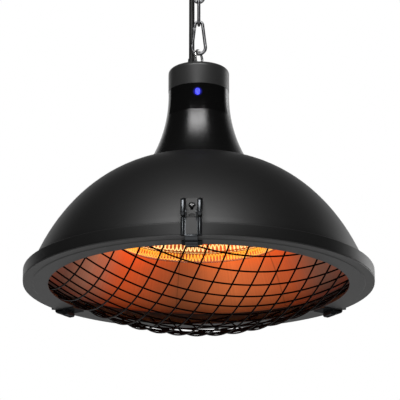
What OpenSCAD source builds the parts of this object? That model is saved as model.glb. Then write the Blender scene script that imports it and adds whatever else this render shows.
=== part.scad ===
// Pendant infrared heater hung on a chain: a spun steel dome with a ring lamp behind a bulged wire guard.
// The row's origin is the middle of the ceiling plate's top face. Heights inside the heater are measured
// from the lower edge of its rim, and at_heater() brings them down to where the heater hangs.

/* [Rim and dome] */
// Radius of the rim, the widest part
rim_r = 212.5; // [195:0.5:235]
// Height of the upright band round the rim
band_h = 15; // [10:0.5:22]
// Thickness of the spun steel sheet
sheet_t = 1.2; // [0.8:0.1:2]
// Width of the flat ledge between the band and the dome
ledge_w = 10.4; // [6:0.1:14]
// Height of the dome's flat seat for the neck, above the rim
seat_z = 153.6; // [140:0.2:165]
// How far the dome's curve leans out from the axis before it starts to fall
dome_lean = 28.8; // [20:0.2:40]
// Height of the dome's curve, from its flattest point down to its own centre
dome_rise = 247.6; // [230:0.2:265]

/* [Neck and cap] */
// Radius of the neck's straight upper part
neck_r = 37.5; // [33:0.1:42]
// Radius of the neck's flared foot
foot_r = 61.9; // [57:0.1:66]
// Wall of the neck housing
neck_wall = 2.5; // [2:0.1:3.5]
// Height of the neck above the dome's seat
neck_h = 93.9; // [80:0.1:110]
// Height of the straight part at the top of the neck
neck_straight = 4.9; // [3:0.1:12]
// Height of the cap
cap_h = 29.5; // [26:0.1:36]
// How far the cap stands proud of the neck
cap_proud = 0.2; // [0.2:0.1:1]
// Radius of the cap's rounded upper edge
cap_round = 6; // [3:0.2:8]
// Thickness of the cap's top
cap_top_t = 3; // [2:0.1:4]
// Wall of the cap's skirt
cap_wall = 2.2; // [1.6:0.1:3]
// Height of the glossy control window below the cap
window_h = 34; // [26:0.5:42]
// Half of the angle that the window wraps round the neck
window_half = 62.7; // [40:0.1:75]
// Thickness of the window
window_t = 1.9; // [1.4:0.1:2.2]
// Height of the light's middle below the cap
light_drop = 11.5; // [9:0.1:16]
// Width of the light's lens
light_w = 5.6; // [4:0.1:7]
// Height of the light's lens
light_h = 8.6; // [7:0.1:10]

/* [Guard] */
// Width of the guard ring's face, from the rim in to the clear opening
face_w = 30.5; // [26:0.5:36]
// Width of the flat outside the face's step
step_w = 11.5; // [10:0.5:13]
// Height of that step
step_h = 1; // [0.6:0.1:1.5]
// Thickness of the guard ring's sheet
guard_t = 1.5; // [1.2:0.1:2]
// Width of the ring's inner lip, from the clear opening out to its upright wall
lip_w = 8; // [6:0.5:10]
// How far the wire guard bulges down below the rim
mesh_depth = 52; // [30:0.5:60]
// Distance from one wire to the next
mesh_pitch = 23.4; // [18:0.1:30]
// Thickness of a guard wire
mesh_wire = 2; // [1.4:0.1:2.4]
// Turn of the wire grid about the axis
mesh_turn = 21; // [0:1:45]
// Sideways place of the grid's first wire from the axis
mesh_shift = 0; // [-11:0.5:11]

/* [Lamp and reflector] */
// Space between the outer dome and the reflector
reflector_gap = 18; // [14:0.5:24]
// Thickness of the reflector's sheet
reflector_t = 0.8; // [0.6:0.1:1.2]
// Radius of the ring lamp
lamp_r = 102; // [85:0.5:115]
// Height of the ring lamp's lower channel above the rim
lamp_z = 64; // [58:0.5:70]
// Radius of each of the two channels of the lamp's quartz tube
tube_r = 6.6; // [6:0.1:7.5]
// Wall of the quartz tube
tube_wall = 0.9; // [0.7:0.1:1.2]
// Distance from the lower channel up to the upper one
channel_pitch = 12.6; // [12:0.1:16]
// Half of the angle left between the lamp's two ends
lamp_gap_half = 7; // [5:0.5:10]
// Turns that the solid shows of the glowing coil in each channel
coil_turns = 44; // [30:1:46]
// Thickness of the coil's wire
coil_wire = 1.4; // [1:0.1:1.6]

/* [Latches] */
// Height of the latch pin above the rim
pin_z = 26.6; // [24:0.1:30]
// How far the latch pin stands outside the rim
pin_out = 4.1; // [3.8:0.1:6]
// Radius of a latch pin
pin_r = 1.5; // [1.2:0.1:1.8]
// Half of the latch's width
latch_half = 12; // [10.5:0.1:14]
// Half of the width between the latch's two ears
ear_gap_half = 6.9; // [6:0.1:8]
// Width of the hook under the ring
hook_w = 14.8; // [10:0.1:18]
// Depth of the heel under the hook's inner end
heel_h = 4.5; // [3:0.1:6]
// Thickness of the strike plate under the ring that the hook bears on
strike_t = 1.4; // [1:0.1:2]
// Thickness of the lever's sheet
lever_t = 1.8; // [1.2:0.1:2]

/* [Chain and carabiner] */
// Thickness of a chain link's wire
link_wire = 3.6; // [3:0.1:4]
// Inner length of a chain link
link_len = 30.5; // [26:0.5:34]
// Inner width of a chain link
link_inner_w = 8.6; // [8:0.1:11]
// Thickness of the carabiner's wire
carabiner_wire = 4; // [3.6:0.1:4.4]
// Inner length of the carabiner
carabiner_len = 38.8; // [36:0.2:44]
// Radius of the carabiner's narrow end, at the middle of its wire
carabiner_top_r = 4.8; // [4.4:0.1:5.4]
// Radius of the carabiner's wide end, at the middle of its wire
carabiner_foot_r = 8.3; // [8:0.1:9]
// Thickness of the wire in the heater's eye
eye_wire = 3.4; // [3:0.1:3.8]
// Radius of the heater's eye, at the middle of its wire
eye_r = 10.2; // [9.6:0.1:11]
// Turn of the eye's ring from the heater's front
eye_turn = 68; // [60:1:90]

/* [Ceiling fitting] */
// Radius of the ceiling plate
plate_r = 32; // [30:0.5:40]
// Thickness of the ceiling plate
plate_t = 3; // [2:0.1:4]
// Radius of the circle of the plate's screw holes
screw_circle_r = 24; // [24:0.5:28]
// Radius of one of the plate's screw holes
screw_hole_r = 2.25; // [1.75:0.05:2.75]
// Thickness of the ceiling hook's wire
hook_wire = 4; // [3.6:0.1:4.4]
// Radius of the hook's bend, at the middle of its wire
hook_bend_r = 8; // [7:0.1:9]
// Depth of the hook's load point below the ceiling
hook_drop = 50; // [46:0.5:60]

/* [Supply cable] */
// Thickness of the supply cable
cable_d = 7; // [6:0.1:8]
// Length of the tapered strain relief above the cap
relief_len = 20; // [20:0.5:26]

/* [Hidden] */
$fn = 64;

// clearances
rest_gap = 0.3;       // between a piece and the one that it hangs on or rests against
running_gap = 0.05;   // round a pin in its bore, on the radius
shank_gap = 0.1;      // round a screw or bolt in a plain hole, on the radius

// hanging chain, from the ceiling down: each value is the surface that carries the next piece
hook_seat = -hook_drop;
link_a_top = hook_seat + rest_gap;
link_a_foot = link_a_top - link_len;
link_b_top = link_a_foot + rest_gap;
link_b_foot = link_b_top - link_len;
carabiner_top = link_b_foot + rest_gap;
carabiner_foot = carabiner_top - carabiner_len;
eye_top = carabiner_foot + rest_gap;
eye_z = eye_top - (eye_r - eye_wire / 2);
collar_h = 4;
cap_top = eye_z - eye_r - eye_wire / 2 - collar_h + 0.1;
link_bend_r = (link_inner_w + link_wire) / 2;

// heights above the rim, in the heater's own frame
neck_top = seat_z + neck_h;
cap_top_h = neck_top + cap_h;
rim_z = cap_top - cap_top_h;
ledge_z = band_h + guard_t;
flare_top = neck_top - neck_straight;
flare_r = (pow(flare_top - seat_z, 2) + pow(foot_r - neck_r, 2)) / (2 * (foot_r - neck_r));

// the dome's curve is a quarter ellipse whose centre lies off the axis and below the rim
seat_r = foot_r - 0.4;
dome_cz = seat_z - dome_rise * 0.9895;
dome_base_r = rim_r - ledge_w;
dome_a = (dome_base_r - dome_lean) / cos(asin((ledge_z + 2 - dome_cz) / dome_rise));
function dome_point(inset, t) = [dome_lean + (dome_a - inset) * cos(t), dome_cz + (dome_rise - inset) * sin(t)];
function dome_t_at_z(inset, z) = asin((z - dome_cz) / (dome_rise - inset));
function dome_t_at_r(inset, r) = acos((r - dome_lean) / (dome_a - inset));
function dome_z_at_r(inset, r) = dome_point(inset, dome_t_at_r(inset, r))[1];
function dome_r_at_z(inset, z) = dome_point(inset, dome_t_at_z(inset, z))[0];
function dome_curve(inset, t0, t1, steps) = [for (i = [0 : steps]) dome_point(inset, t0 + (t1 - t0) * i / steps)];
function arc(c, r, a0, a1, steps) =
    [for (i = [0 : steps]) let (a = a0 + (a1 - a0) * i / steps) [c[0] + r * cos(a), c[1] + r * sin(a)]];
function neck_at(z) = z >= flare_top ? neck_r : neck_r + flare_r - sqrt(pow(flare_r, 2) - pow(flare_top - z, 2));

// neck, cap and load path
spigot_wall = 2.4;
spigot_r = neck_r + cap_proud - cap_wall - rest_gap;
spigot_h = 10.5;
floor_t = 3.4;
lead_hole_r = 20;
load_plate_t = 2.5;
load_plate_z = neck_top + spigot_h;
shank_r = 3;
boss_circle_r = 42;
boss_r = 5;
boss_h = 18;
neck_screw_r = 2;
cable_at = [-9.5, 13];
relief_r = 5;
relief_bore_r = cable_d / 2 + 0.2;

// electrical chassis inside the neck
chassis_t = 1.5;
chassis_y = 5;
chassis_half = 17.2;
board_y = -24;
board_t = 1.6;
board_half_w = 19;
board_foot = neck_top - 47;
board_top = neck_top - 2;
standoff_x = 14.5;
terminal_foot = neck_top - 28;
terminal_top = neck_top - 12;
light_z = neck_top - light_drop;

// reflector and shield
flange_t = 0.8;
flange_z = ledge_z - sheet_t - flange_t;
flange_r = rim_r - 5.5;
shield_gap = 9;
shield_t = 0.8;
shield_r = 112;
shield_hole_r = 16;
reflector_top = dome_z_at_r(reflector_gap, seat_r);
reflector_under = dome_z_at_r(reflector_gap + reflector_t, seat_r);
shield_top = dome_z_at_r(shield_gap, seat_r);
shield_under = dome_z_at_r(shield_gap + shield_t, seat_r);
lead_r = 1.3;
lead_x = 8;
post_r = 2;

// lamp
coil_r = tube_r - tube_wall - coil_wire / 2 - 0.8;
lamp_top = lamp_z + channel_pitch;
cap_half = 8;
cap_gap_half = 1.5;
clip_t = 1.3;
clip_w = 6;
clip_angles = [12, 168];

// guard
guard_r = rim_r - face_w;
step_r = rim_r - step_w;
wall_r = guard_r + lip_w;
guard_wall_top = flange_z - rest_gap;
lip_r = flange_r + 2.5;
mesh_rim_z = mesh_wire / 2 + guard_t - step_h + 0.4;
mesh_sag = mesh_depth + mesh_rim_z;
mesh_ball_r = (pow(guard_r, 2) + pow(mesh_sag, 2)) / (2 * mesh_sag);
mesh_end_r = wall_r - 0.4;
mesh_reach = guard_r - 4;

// latches
latch_angles = [0, 127, 237.5];
pin_y = -(rim_r + pin_out);
base_z = 41;
base_r = dome_r_at_z(0, base_z);
base_tilt = atan(dome_a * sin(dome_t_at_z(0, base_z)) / (dome_rise * cos(dome_t_at_z(0, base_z))));
base_t = 2;
ear_r = 5;
knuckle_r = 3.6;
lever_back = rim_r + 0.5;
lever_top = pin_z - ear_r - rest_gap;
hook_top = -step_h - strike_t - rest_gap;
hook_reach = wall_r + 4.5;
heel_w = 8.5;
plate_foot = 0.2;
strike_from = guard_r - 0.5;
strike_to = step_r - 2;
rail_w = 4;
rail_h = 4;
cover_half = 6.4;
cover_t = 1.6;
latch_screw_r = 2;
latch_head_r = 4.1;

// carabiner
gate_hinge_drop = 11.6;
gate_len = 19.2;
gate_pin_r = 0.8;

// supply cable: its line from the ceiling down to the cap, straight beside the chain
cable_route = [[-9.5, 13, 0], [-9.5, 13, -11], [-9.5, 13, -22], [-9.4, 13, -33], [-9.4, 13, -43],
    [-9.4, 13, -54], [-9.3, 13, -65], [-9.3, 13, -76], [-9.3, 13, -87],
    [-9.3, 13, -98], [-9.3, 13, -109], [-9.4, 13, -120], [-9.4, 13, -130],
    [-9.4, 13, -141], [-9.5, 13, -152], [-9.5, 13, -163], [-9.5, 13, -173]];
cable_sides = 10;

module at_heater() translate([0, 0, rim_z]) children();
module at_latch(i) at_heater() rotate([0, 0, latch_angles[i]]) children();
// puts a drawing made in the XY plane upright in the XZ plane, or in the YZ plane
module upright_x() rotate([90, 0, 0]) children();
module upright_y() rotate([90, 0, 90]) children();
module ring_arc(r, wire, from, to)
    rotate([0, 0, from]) rotate_extrude(angle = to - from) translate([r, 0]) circle(d = wire);
module bar(from, to, r) {
    d = to - from;
    translate(from) rotate([0, acos(d[2] / norm(d)), atan2(d[1], d[0])]) cylinder(r = r, h = norm(d));
}
module bent_bar(points, r) {
    for (i = [0 : len(points) - 2]) bar(points[i], points[i + 1], r);
    for (i = [1 : len(points) - 2]) translate(points[i]) sphere(r = r * 1.1);
}
module hexagon(across, h) cylinder(r = across / sqrt(3), h = h, $fn = 6);

// Ceiling fitting
module ceiling_plate() color("#2a2a2c") difference() {
    translate([0, 0, -plate_t]) cylinder(r = plate_r, h = plate_t, $fn = 96);
    translate([0, 0, -plate_t - 1]) cylinder(r = hook_wire / 2 + shank_gap, h = plate_t + 2);
    translate([cable_at[0], cable_at[1], -plate_t - 1]) cylinder(r = relief_r + 0.6, h = plate_t + 2);
    for (a = [30, 150, 270]) rotate([0, 0, a])
        translate([screw_circle_r, 0, -plate_t - 1]) cylinder(r = screw_hole_r, h = plate_t + 2);
}

hook_open = 60;
hook_cz = hook_seat - hook_wire / 2 + hook_bend_r;
shank_foot = hook_cz + 2 * hook_bend_r * sin(hook_open);
module ceiling_hook() color("#b9bcc0") {
    translate([0, 0, shank_foot]) cylinder(d = hook_wire, h = -0.2 - shank_foot);
    translate([0, 0, hook_cz]) upright_y() ring_arc(hook_bend_r, hook_wire, -200, hook_open);
    translate([0, hook_bend_r, shank_foot]) upright_y() ring_arc(hook_bend_r, hook_wire, 180, 180 + hook_open);
    for (a = [-200, hook_open]) translate([0, hook_bend_r * cos(a), hook_cz + hook_bend_r * sin(a)])
        sphere(d = hook_wire + 0.2);
    translate([0, 0, shank_foot]) sphere(d = hook_wire + 0.2);
}

hook_nut_h = 3.2;
module hook_nut() color("#b9bcc0") translate([0, 0, -plate_t - hook_nut_h]) difference() {
    hexagon(7, hook_nut_h);
    translate([0, 0, -1]) cylinder(r = hook_wire / 2 + shank_gap, h = hook_nut_h + 2);
}

module cable_grommet() color("#1c1c1c") translate([cable_at[0], cable_at[1], 0]) rotate_extrude() polygon([
    [relief_bore_r, 0], [relief_r + 0.5, 0], [relief_r + 0.5, -plate_t],
    [relief_r + 2, -plate_t], [relief_r + 1.4, -plate_t - 2], [relief_bore_r, -plate_t - 2]]);

// Chain: one link, standing in the XZ plane, with its upper inner surface at z = 0
module link() {
    arm = link_len / 2 - link_bend_r + link_wire / 2;
    translate([0, 0, -link_len / 2]) upright_x() {
        translate([0, arm]) ring_arc(link_bend_r, link_wire, 0, 180);
        translate([0, -arm]) ring_arc(link_bend_r, link_wire, 180, 360);
        for (side = [-1, 1]) translate([side * link_bend_r, 0])
            rotate([90, 0, 0]) cylinder(d = link_wire, h = 2 * arm, center = true);
    }
}
module chain_link_upper() color("#9a9da1") translate([0, 0, link_a_top]) link();
module chain_link_lower() color("#9a9da1") translate([0, 0, link_b_top]) rotate([0, 0, 90]) link();

// Carabiner: a pear of round wire in the XZ plane, with a gate in its left side
top_c = carabiner_top + carabiner_wire / 2 - carabiner_top_r;
foot_c = carabiner_foot - carabiner_wire / 2 + carabiner_foot_r;
side_lean = asin((carabiner_foot_r - carabiner_top_r) / (top_c - foot_c));
side_from = [carabiner_top_r * cos(side_lean), top_c + carabiner_top_r * sin(side_lean)];
side_to = [carabiner_foot_r * cos(side_lean), foot_c + carabiner_foot_r * sin(side_lean)];
function side_point(drop) = let (d = side_to - side_from) side_from + d * drop / norm(d);
hinge_at = [-side_point(gate_hinge_drop - 6)[0], side_point(gate_hinge_drop - 6)[1]];
nose_at = [-side_point(gate_hinge_drop - 6 + gate_len)[0], side_point(gate_hinge_drop - 6 + gate_len)[1]];
tongue_t = 1.2;
module along_gate() translate([hinge_at[0], 0, hinge_at[1]]) rotate([0, side_lean, 0]) children();
module carabiner_body() color("#8d9095") {
    translate([0, 0, top_c]) upright_x() ring_arc(carabiner_top_r, carabiner_wire, side_lean, 180 - side_lean);
    translate([0, 0, foot_c]) upright_x()
        ring_arc(carabiner_foot_r, carabiner_wire, 180 - side_lean, 360 + side_lean);
    bar([side_from[0], 0, side_from[1]], [side_to[0], 0, side_to[1]], carabiner_wire / 2);
    bar([-side_from[0], 0, side_from[1]], [hinge_at[0], 0, hinge_at[1]] + [0.07, 0, 1] * 2.6, carabiner_wire / 2);
    bar([nose_at[0], 0, nose_at[1]] - [0, 0, rest_gap], [-side_to[0], 0, side_to[1]], carabiner_wire / 2);
    for (p = [side_from, side_to]) for (side = [-1, 1])
        translate([side * p[0], 0, p[1]]) sphere(d = carabiner_wire + 0.2);
    along_gate() difference() {
        union() {
            rotate([90, 0, 0]) cylinder(r = 1.8, h = tongue_t, center = true);
            translate([-1.8, -tongue_t / 2, 0]) cube([3.6, tongue_t, 3.2]);
        }
        rotate([90, 0, 0]) cylinder(r = gate_pin_r, h = 4, center = true);
    }
}
module carabiner_gate() color("#a6a9ad") along_gate() difference() {
    union() {
        translate([0, 0, -gate_len + 0.2]) cylinder(r = carabiner_wire / 2 - 0.15, h = gate_len - 0.2);
        rotate([90, 0, 0]) cylinder(r = 1.85, h = 3.4, center = true);
    }
    translate([-3, -tongue_t / 2 - 0.2, -3]) cube([6, tongue_t + 0.4, 6]);
    rotate([90, 0, 0]) cylinder(r = gate_pin_r + running_gap, h = 6, center = true);
}
module gate_pin() color("#8d9095") along_gate()
    rotate([90, 0, 0]) cylinder(r = gate_pin_r, h = carabiner_wire - 0.2, center = true);

// Supply cable: a plain swept tube along some of the route's points
module cable_run(first, last) {
    rings = last - first + 1;
    points = [for (i = [first : last]) for (k = [0 : cable_sides - 1])
        cable_route[i] + cable_d / 2 * [cos(360 * k / cable_sides), sin(360 * k / cable_sides), 0]];
    sides = [for (i = [0 : rings - 2]) for (k = [0 : cable_sides - 1])
        let (a = i * cable_sides, m = (k + 1) % cable_sides)
        each [[a + k, a + m, a + cable_sides + m], [a + k, a + cable_sides + m, a + cable_sides + k]]];
    ends = [for (k = [1 : cable_sides - 2]) each
        [[0, k + 1, k], (rings - 1) * cable_sides * [1, 1, 1] + [0, k, k + 1]]];
    polyhedron(points, concat(sides, ends));
}
module supply_cable_top() color("#1a1a1a") cable_run(0, 4);
module supply_cable_upper() color("#1a1a1a") cable_run(4, 8);
module supply_cable_lower() color("#1a1a1a") cable_run(8, 12);
module supply_cable_bottom() color("#1a1a1a") cable_run(12, 16);

module strain_relief() color("#161616") at_heater() translate([cable_at[0], cable_at[1], 0])
    rotate_extrude() polygon([
        [relief_bore_r, cap_top_h - cap_top_t - 3], [relief_r + 1.6, cap_top_h - cap_top_t - 3],
        [relief_r + 1.6, cap_top_h - cap_top_t], [relief_r, cap_top_h - cap_top_t],
        [relief_r, cap_top_h], [relief_r + 1.8, cap_top_h], [relief_r + 1.8, cap_top_h + 2.5],
        [relief_r + 0.6, cap_top_h + 3.5], [cable_d / 2 + 0.9, cap_top_h + relief_len],
        [relief_bore_r, cap_top_h + relief_len]]);

// Eye, and the stack that carries the heater's weight
module hanging_eye() color("#b4b7bb") {
    translate([0, 0, eye_z]) rotate([0, 0, eye_turn]) upright_x()
        rotate_extrude() translate([eye_r, 0]) circle(d = eye_wire);
    translate([0, 0, cap_top]) cylinder(r = 6.5, h = collar_h);
    at_heater() translate([0, 0, load_plate_z - 9]) cylinder(r = shank_r, h = cap_top_h - load_plate_z + 9.1);
}
module eye_spacer() color("#9a9da1") at_heater() translate([0, 0, load_plate_z + load_plate_t]) difference() {
    cylinder(r = 6, h = cap_top_h - cap_top_t - load_plate_z - load_plate_t);
    translate([0, 0, -1]) cylinder(r = shank_r + shank_gap, h = cap_h);
}
eye_nut_h = 5;
module eye_nut() color("#b4b7bb") at_heater() translate([0, 0, load_plate_z - eye_nut_h]) difference() {
    hexagon(10, eye_nut_h);
    translate([0, 0, -1]) cylinder(r = shank_r + shank_gap, h = eye_nut_h + 2);
}
lug_circle_r = 27;
module load_plate() color("#85888c") at_heater() translate([0, 0, load_plate_z]) difference() {
    cylinder(r = spigot_r - 0.2, h = load_plate_t);
    translate([0, 0, -1]) cylinder(r = shank_r + shank_gap, h = load_plate_t + 2);
    translate([cable_at[0], cable_at[1], -1]) cylinder(r = relief_r, h = load_plate_t + 2);
    for (a = [30, 180, 300]) rotate([0, 0, a])
        translate([lug_circle_r, 0, -1]) cylinder(r = 1.5 + shank_gap, h = load_plate_t + 2);
}
module plate_screws() color("#b4b7bb") at_heater() for (a = [30, 180, 300]) rotate([0, 0, a])
    translate([lug_circle_r, 0, load_plate_z]) {
        translate([0, 0, load_plate_t]) cylinder(r1 = 3, r2 = 2, h = 2);
        translate([0, 0, -7]) cylinder(r = 1.5, h = load_plate_t + 7.1);
    }
module chassis() color("#a3a6a9") at_heater() {
    translate([-chassis_half, chassis_y, board_foot - 6])
        cube([2 * chassis_half, chassis_t, load_plate_z - board_foot + 6]);
    difference() {
        translate([-chassis_half, chassis_y, load_plate_z - chassis_t]) cube([2 * chassis_half, 14, chassis_t]);
        translate([cable_at[0], cable_at[1], load_plate_z - 4]) cylinder(r = relief_r, h = 5);
    }
}
module terminal_block() color("#e7e3da") at_heater() difference() {
    translate([-17, chassis_y + chassis_t, terminal_foot]) cube([24, 13.5, terminal_top - terminal_foot]);
    for (x = [-13, -5, 3]) translate([x, chassis_y + chassis_t + 14, (terminal_foot + terminal_top) / 2])
        rotate([90, 0, 0]) cylinder(r = 2.2, h = 5);
}
module inner_cable() color("#1a1a1a") at_heater() translate([cable_at[0], cable_at[1], terminal_top])
    cylinder(r = cable_d / 2, h = cable_route[len(cable_route) - 1][2] - rim_z - terminal_top);

module control_board() color("#1f5a35") at_heater() difference() {
    translate([-board_half_w, board_y, board_foot]) cube([2 * board_half_w, board_t, board_top - board_foot]);
    for (x = [-standoff_x, standoff_x]) for (z = [board_foot + 4, board_top - 4])
        translate([x, board_y + 3, z]) rotate([90, 0, 0]) cylinder(r = 1.5, h = 5);
}
module board_standoffs() color("#c9c4b6") at_heater()
    for (x = [-standoff_x, standoff_x]) for (z = [board_foot + 4, board_top - 4]) {
        translate([x, chassis_y, z]) rotate([90, 0, 0]) cylinder(r = 2.5, h = chassis_y - board_y - board_t);
        translate([x, chassis_y, z]) rotate([90, 0, 0]) cylinder(r = 1.4, h = chassis_y - board_y + 1);
    }
module power_relay() color("#26364a") at_heater()
    translate([-10, board_y + board_t, board_foot + 7]) cube([20, 15, 16]);
module signal_receiver() color("#120d0d") at_heater() translate([0, board_y, light_z - 14]) {
    translate([-3, -3, -3.5]) cube([6, 3, 7]);
    translate([0, -3, 0]) sphere(r = 2.5);
}
module light_lens() color("#2a3bff") at_heater() translate([0, board_y, light_z]) rotate([90, 0, 0])
    linear_extrude(neck_r + board_y + 0.6) stadium(light_w, light_h);
module stadium(w, h) {
    square([w, h - w], center = true);
    for (side = [-1, 1]) translate([0, side * (h - w) / 2]) circle(d = w);
}

// Control window, let into the neck's front
window_proud = 0.35;
function window_side(inset, foot) = [for (i = [0 : 8]) let (z = foot + (neck_top - foot) * i / 8)
    [neck_at(z) - inset, z]];
function reversed(list) = [for (i = [len(list) - 1 : -1 : 0]) list[i]];
module window_band(outer, inner, foot, half)
    rotate([0, 0, -90 - half]) rotate_extrude(angle = 2 * half)
        polygon(concat(window_side(inner, foot), reversed(window_side(-outer, foot))));
module control_window() color("#060608") at_heater() difference() {
    window_band(window_proud, window_t - window_proud, neck_top - window_h, window_half);
    translate([0, 0, light_z]) rotate([90, 0, 0]) linear_extrude(2 * neck_r) stadium(light_w + 0.3, light_h + 0.3);
}

module top_cap() color("#3a3a3c") at_heater() difference() {
    r = neck_r + cap_proud;
    rotate_extrude($fn = 128) polygon(concat(
        [[r - cap_wall, neck_top], [r, neck_top]],
        arc([r - cap_round, cap_top_h - cap_round], cap_round, 0, 90, 8),
        [[0, cap_top_h], [0, cap_top_h - cap_top_t]],
        arc([r - cap_round, cap_top_h - cap_round], cap_round - cap_wall, 90, 0, 4)));
    translate([0, 0, neck_top]) cylinder(r = shank_r + shank_gap, h = cap_h + 1);
    translate([cable_at[0], cable_at[1], neck_top]) cylinder(r = relief_r + shank_gap, h = cap_h + 1);
}

neck_steps = 18;
module neck_housing() color("#242426") at_heater() difference() {
    union() {
        rotate_extrude($fn = 128) polygon(concat(
            [for (i = [0 : neck_steps]) let (z = seat_z + (flare_top - seat_z) * i / neck_steps) [neck_at(z), z]],
            [[neck_r, neck_top], [spigot_r, neck_top], [spigot_r, load_plate_z],
                [spigot_r - spigot_wall, load_plate_z], [spigot_r - spigot_wall, flare_top]],
            [for (i = [neck_steps : -1 : 0])
                let (z = seat_z + floor_t + (flare_top - seat_z - floor_t) * i / neck_steps)
                [neck_at(z) - neck_wall, z]],
            [[lead_hole_r, seat_z + floor_t], [lead_hole_r, seat_z]]));
        for (a = [30, 150, 270]) rotate([0, 0, a]) translate([boss_circle_r, 0, seat_z]) cylinder(r = boss_r, h = boss_h);
        intersection() {
            for (a = [30, 180, 300]) rotate([0, 0, a])
                translate([lug_circle_r - 4, -4, load_plate_z - 8]) cube([12, 8, 8]);
            translate([0, 0, neck_top]) cylinder(r = spigot_r - 1, h = spigot_h + 1);
        }
    }
    window_band(3, window_t - window_proud + 0.1, neck_top - window_h - 0.1, window_half + 0.3);
    translate([-12, -60, neck_top - window_h + 5]) cube([24, 40, window_h - 9]);
    for (a = [30, 150, 270]) rotate([0, 0, a])
        translate([boss_circle_r, 0, seat_z - 1]) cylinder(r = neck_screw_r + shank_gap, h = boss_h - 1);
    for (a = [30, 180, 300]) rotate([0, 0, a])
        translate([lug_circle_r, 0, load_plate_z - 9]) cylinder(r = 1.5 + shank_gap, h = 10);
}

// Long screws that hold the reflector, the shield and the dome to the neck
module neck_screws() color("#b4b7bb") at_heater() for (a = [30, 150, 270]) rotate([0, 0, a])
    translate([boss_circle_r, 0, reflector_under]) {
        translate([0, 0, -2.6]) cylinder(r1 = 2.6, r2 = 4, h = 2.6);
        cylinder(r = neck_screw_r, h = seat_z + boss_h - 5 - reflector_under);
    }
module tube_spacer(foot, top) translate([boss_circle_r, 0, foot]) difference() {
    cylinder(r = 4, h = top - foot);
    translate([0, 0, -1]) cylinder(r = neck_screw_r + shank_gap, h = top - foot + 2);
}
module shield_spacers() color("#9a9da1") at_heater() for (a = [30, 150, 270]) rotate([0, 0, a])
    tube_spacer(shield_top, seat_z - sheet_t);
module reflector_spacers() color("#9a9da1") at_heater() for (a = [30, 150, 270]) rotate([0, 0, a])
    tube_spacer(reflector_top, shield_under);

dome_steps = 22;
module outer_dome() color("#3b3b3d") at_heater() difference() {
    rotate_extrude($fn = 180) polygon(concat(
        dome_curve(0, dome_t_at_z(0, ledge_z + 2), dome_t_at_r(0, seat_r), dome_steps),
        [[seat_r - 0.4, seat_z], [lead_hole_r, seat_z], [lead_hole_r, seat_z - sheet_t],
            [seat_r - 1, seat_z - sheet_t]],
        reversed(dome_curve(sheet_t, dome_t_at_z(sheet_t, ledge_z - sheet_t), dome_t_at_r(sheet_t, seat_r - 1),
            dome_steps)),
        [[rim_r - sheet_t, ledge_z - sheet_t], [rim_r - sheet_t, guard_t + rest_gap], [rim_r, guard_t + rest_gap]],
        arc([rim_r - 1.6, ledge_z - 1.6], 1.6, 0, 90, 4),
        arc([dome_base_r + 2, ledge_z + 2], 2, 270, 195, 4)));
    for (a = [30, 150, 270]) rotate([0, 0, a])
        translate([boss_circle_r, 0, seat_z - 5]) cylinder(r = neck_screw_r + shank_gap, h = 10);
    for (a = latch_angles) rotate([0, 0, a]) along_base() translate([0, 0, -4])
        cylinder(r = latch_screw_r + shank_gap, h = 8);
}

// a thin dish that follows the dome's curve, with a flat middle
module dish(inset, t, z0, r0, hole, steps) rotate_extrude($fn = 180) polygon(concat(
    dome_curve(inset, dome_t_at_z(inset, z0), dome_t_at_r(inset, r0), steps),
    [[hole, dome_z_at_r(inset, r0)], [hole, dome_z_at_r(inset + t, r0)]],
    reversed(dome_curve(inset + t, dome_t_at_z(inset + t, z0), dome_t_at_r(inset + t, r0), steps))));
module heat_shield() color("#8f9296") at_heater() difference() {
    dish(shield_gap, shield_t, dome_z_at_r(shield_gap, shield_r), seat_r, shield_hole_r, 8);
    for (a = [30, 150, 270]) rotate([0, 0, a])
        translate([boss_circle_r, 0, shield_top - 5]) cylinder(r = neck_screw_r + shank_gap, h = 10);
}
cutout_out = 34;
module thermal_cutout() color("#1d1d1f") at_heater() translate([0, cutout_out, reflector_top]) {
    cylinder(r = 8, h = 1);
    cylinder(r = 6.5, h = 4.5);
}
module reflector() color("#c98a5a") at_heater() difference() {
    union() {
        dish(reflector_gap, reflector_t, flange_z + flange_t, seat_r, 0, 20);
        translate([0, 0, flange_z]) rotate_extrude($fn = 180)
            translate([dome_r_at_z(reflector_gap + reflector_t, flange_z + flange_t), 0])
            square([flange_r - dome_r_at_z(reflector_gap + reflector_t, flange_z + flange_t), flange_t]);
    }
    for (a = [30, 150, 270]) rotate([0, 0, a])
        translate([boss_circle_r, 0, reflector_top - 5]) cylinder(r = neck_screw_r + shank_gap, h = 10);
    for (x = [-lead_x, lead_x]) translate([x, -lamp_r + 3, lamp_z + 30]) cylinder(r = lead_r + 0.7, h = 60);
}

// Ring lamp with two channels, one above the other, and its two ends at the front
web_half = 3.2;
module lamp_tube() color("#f6d9a0") at_heater() translate([0, 0, lamp_z])
    rotate([0, 0, -90 + lamp_gap_half]) rotate_extrude(angle = 360 - 2 * lamp_gap_half, $fn = 128)
        translate([lamp_r, 0]) difference() {
            union() {
                circle(r = tube_r, $fn = 48);
                translate([0, channel_pitch]) circle(r = tube_r, $fn = 48);
                translate([-web_half, 0]) square([2 * web_half, channel_pitch]);
            }
            circle(r = tube_r - tube_wall, $fn = 48);
            translate([0, channel_pitch]) circle(r = tube_r - tube_wall, $fn = 48);
        }

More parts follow.
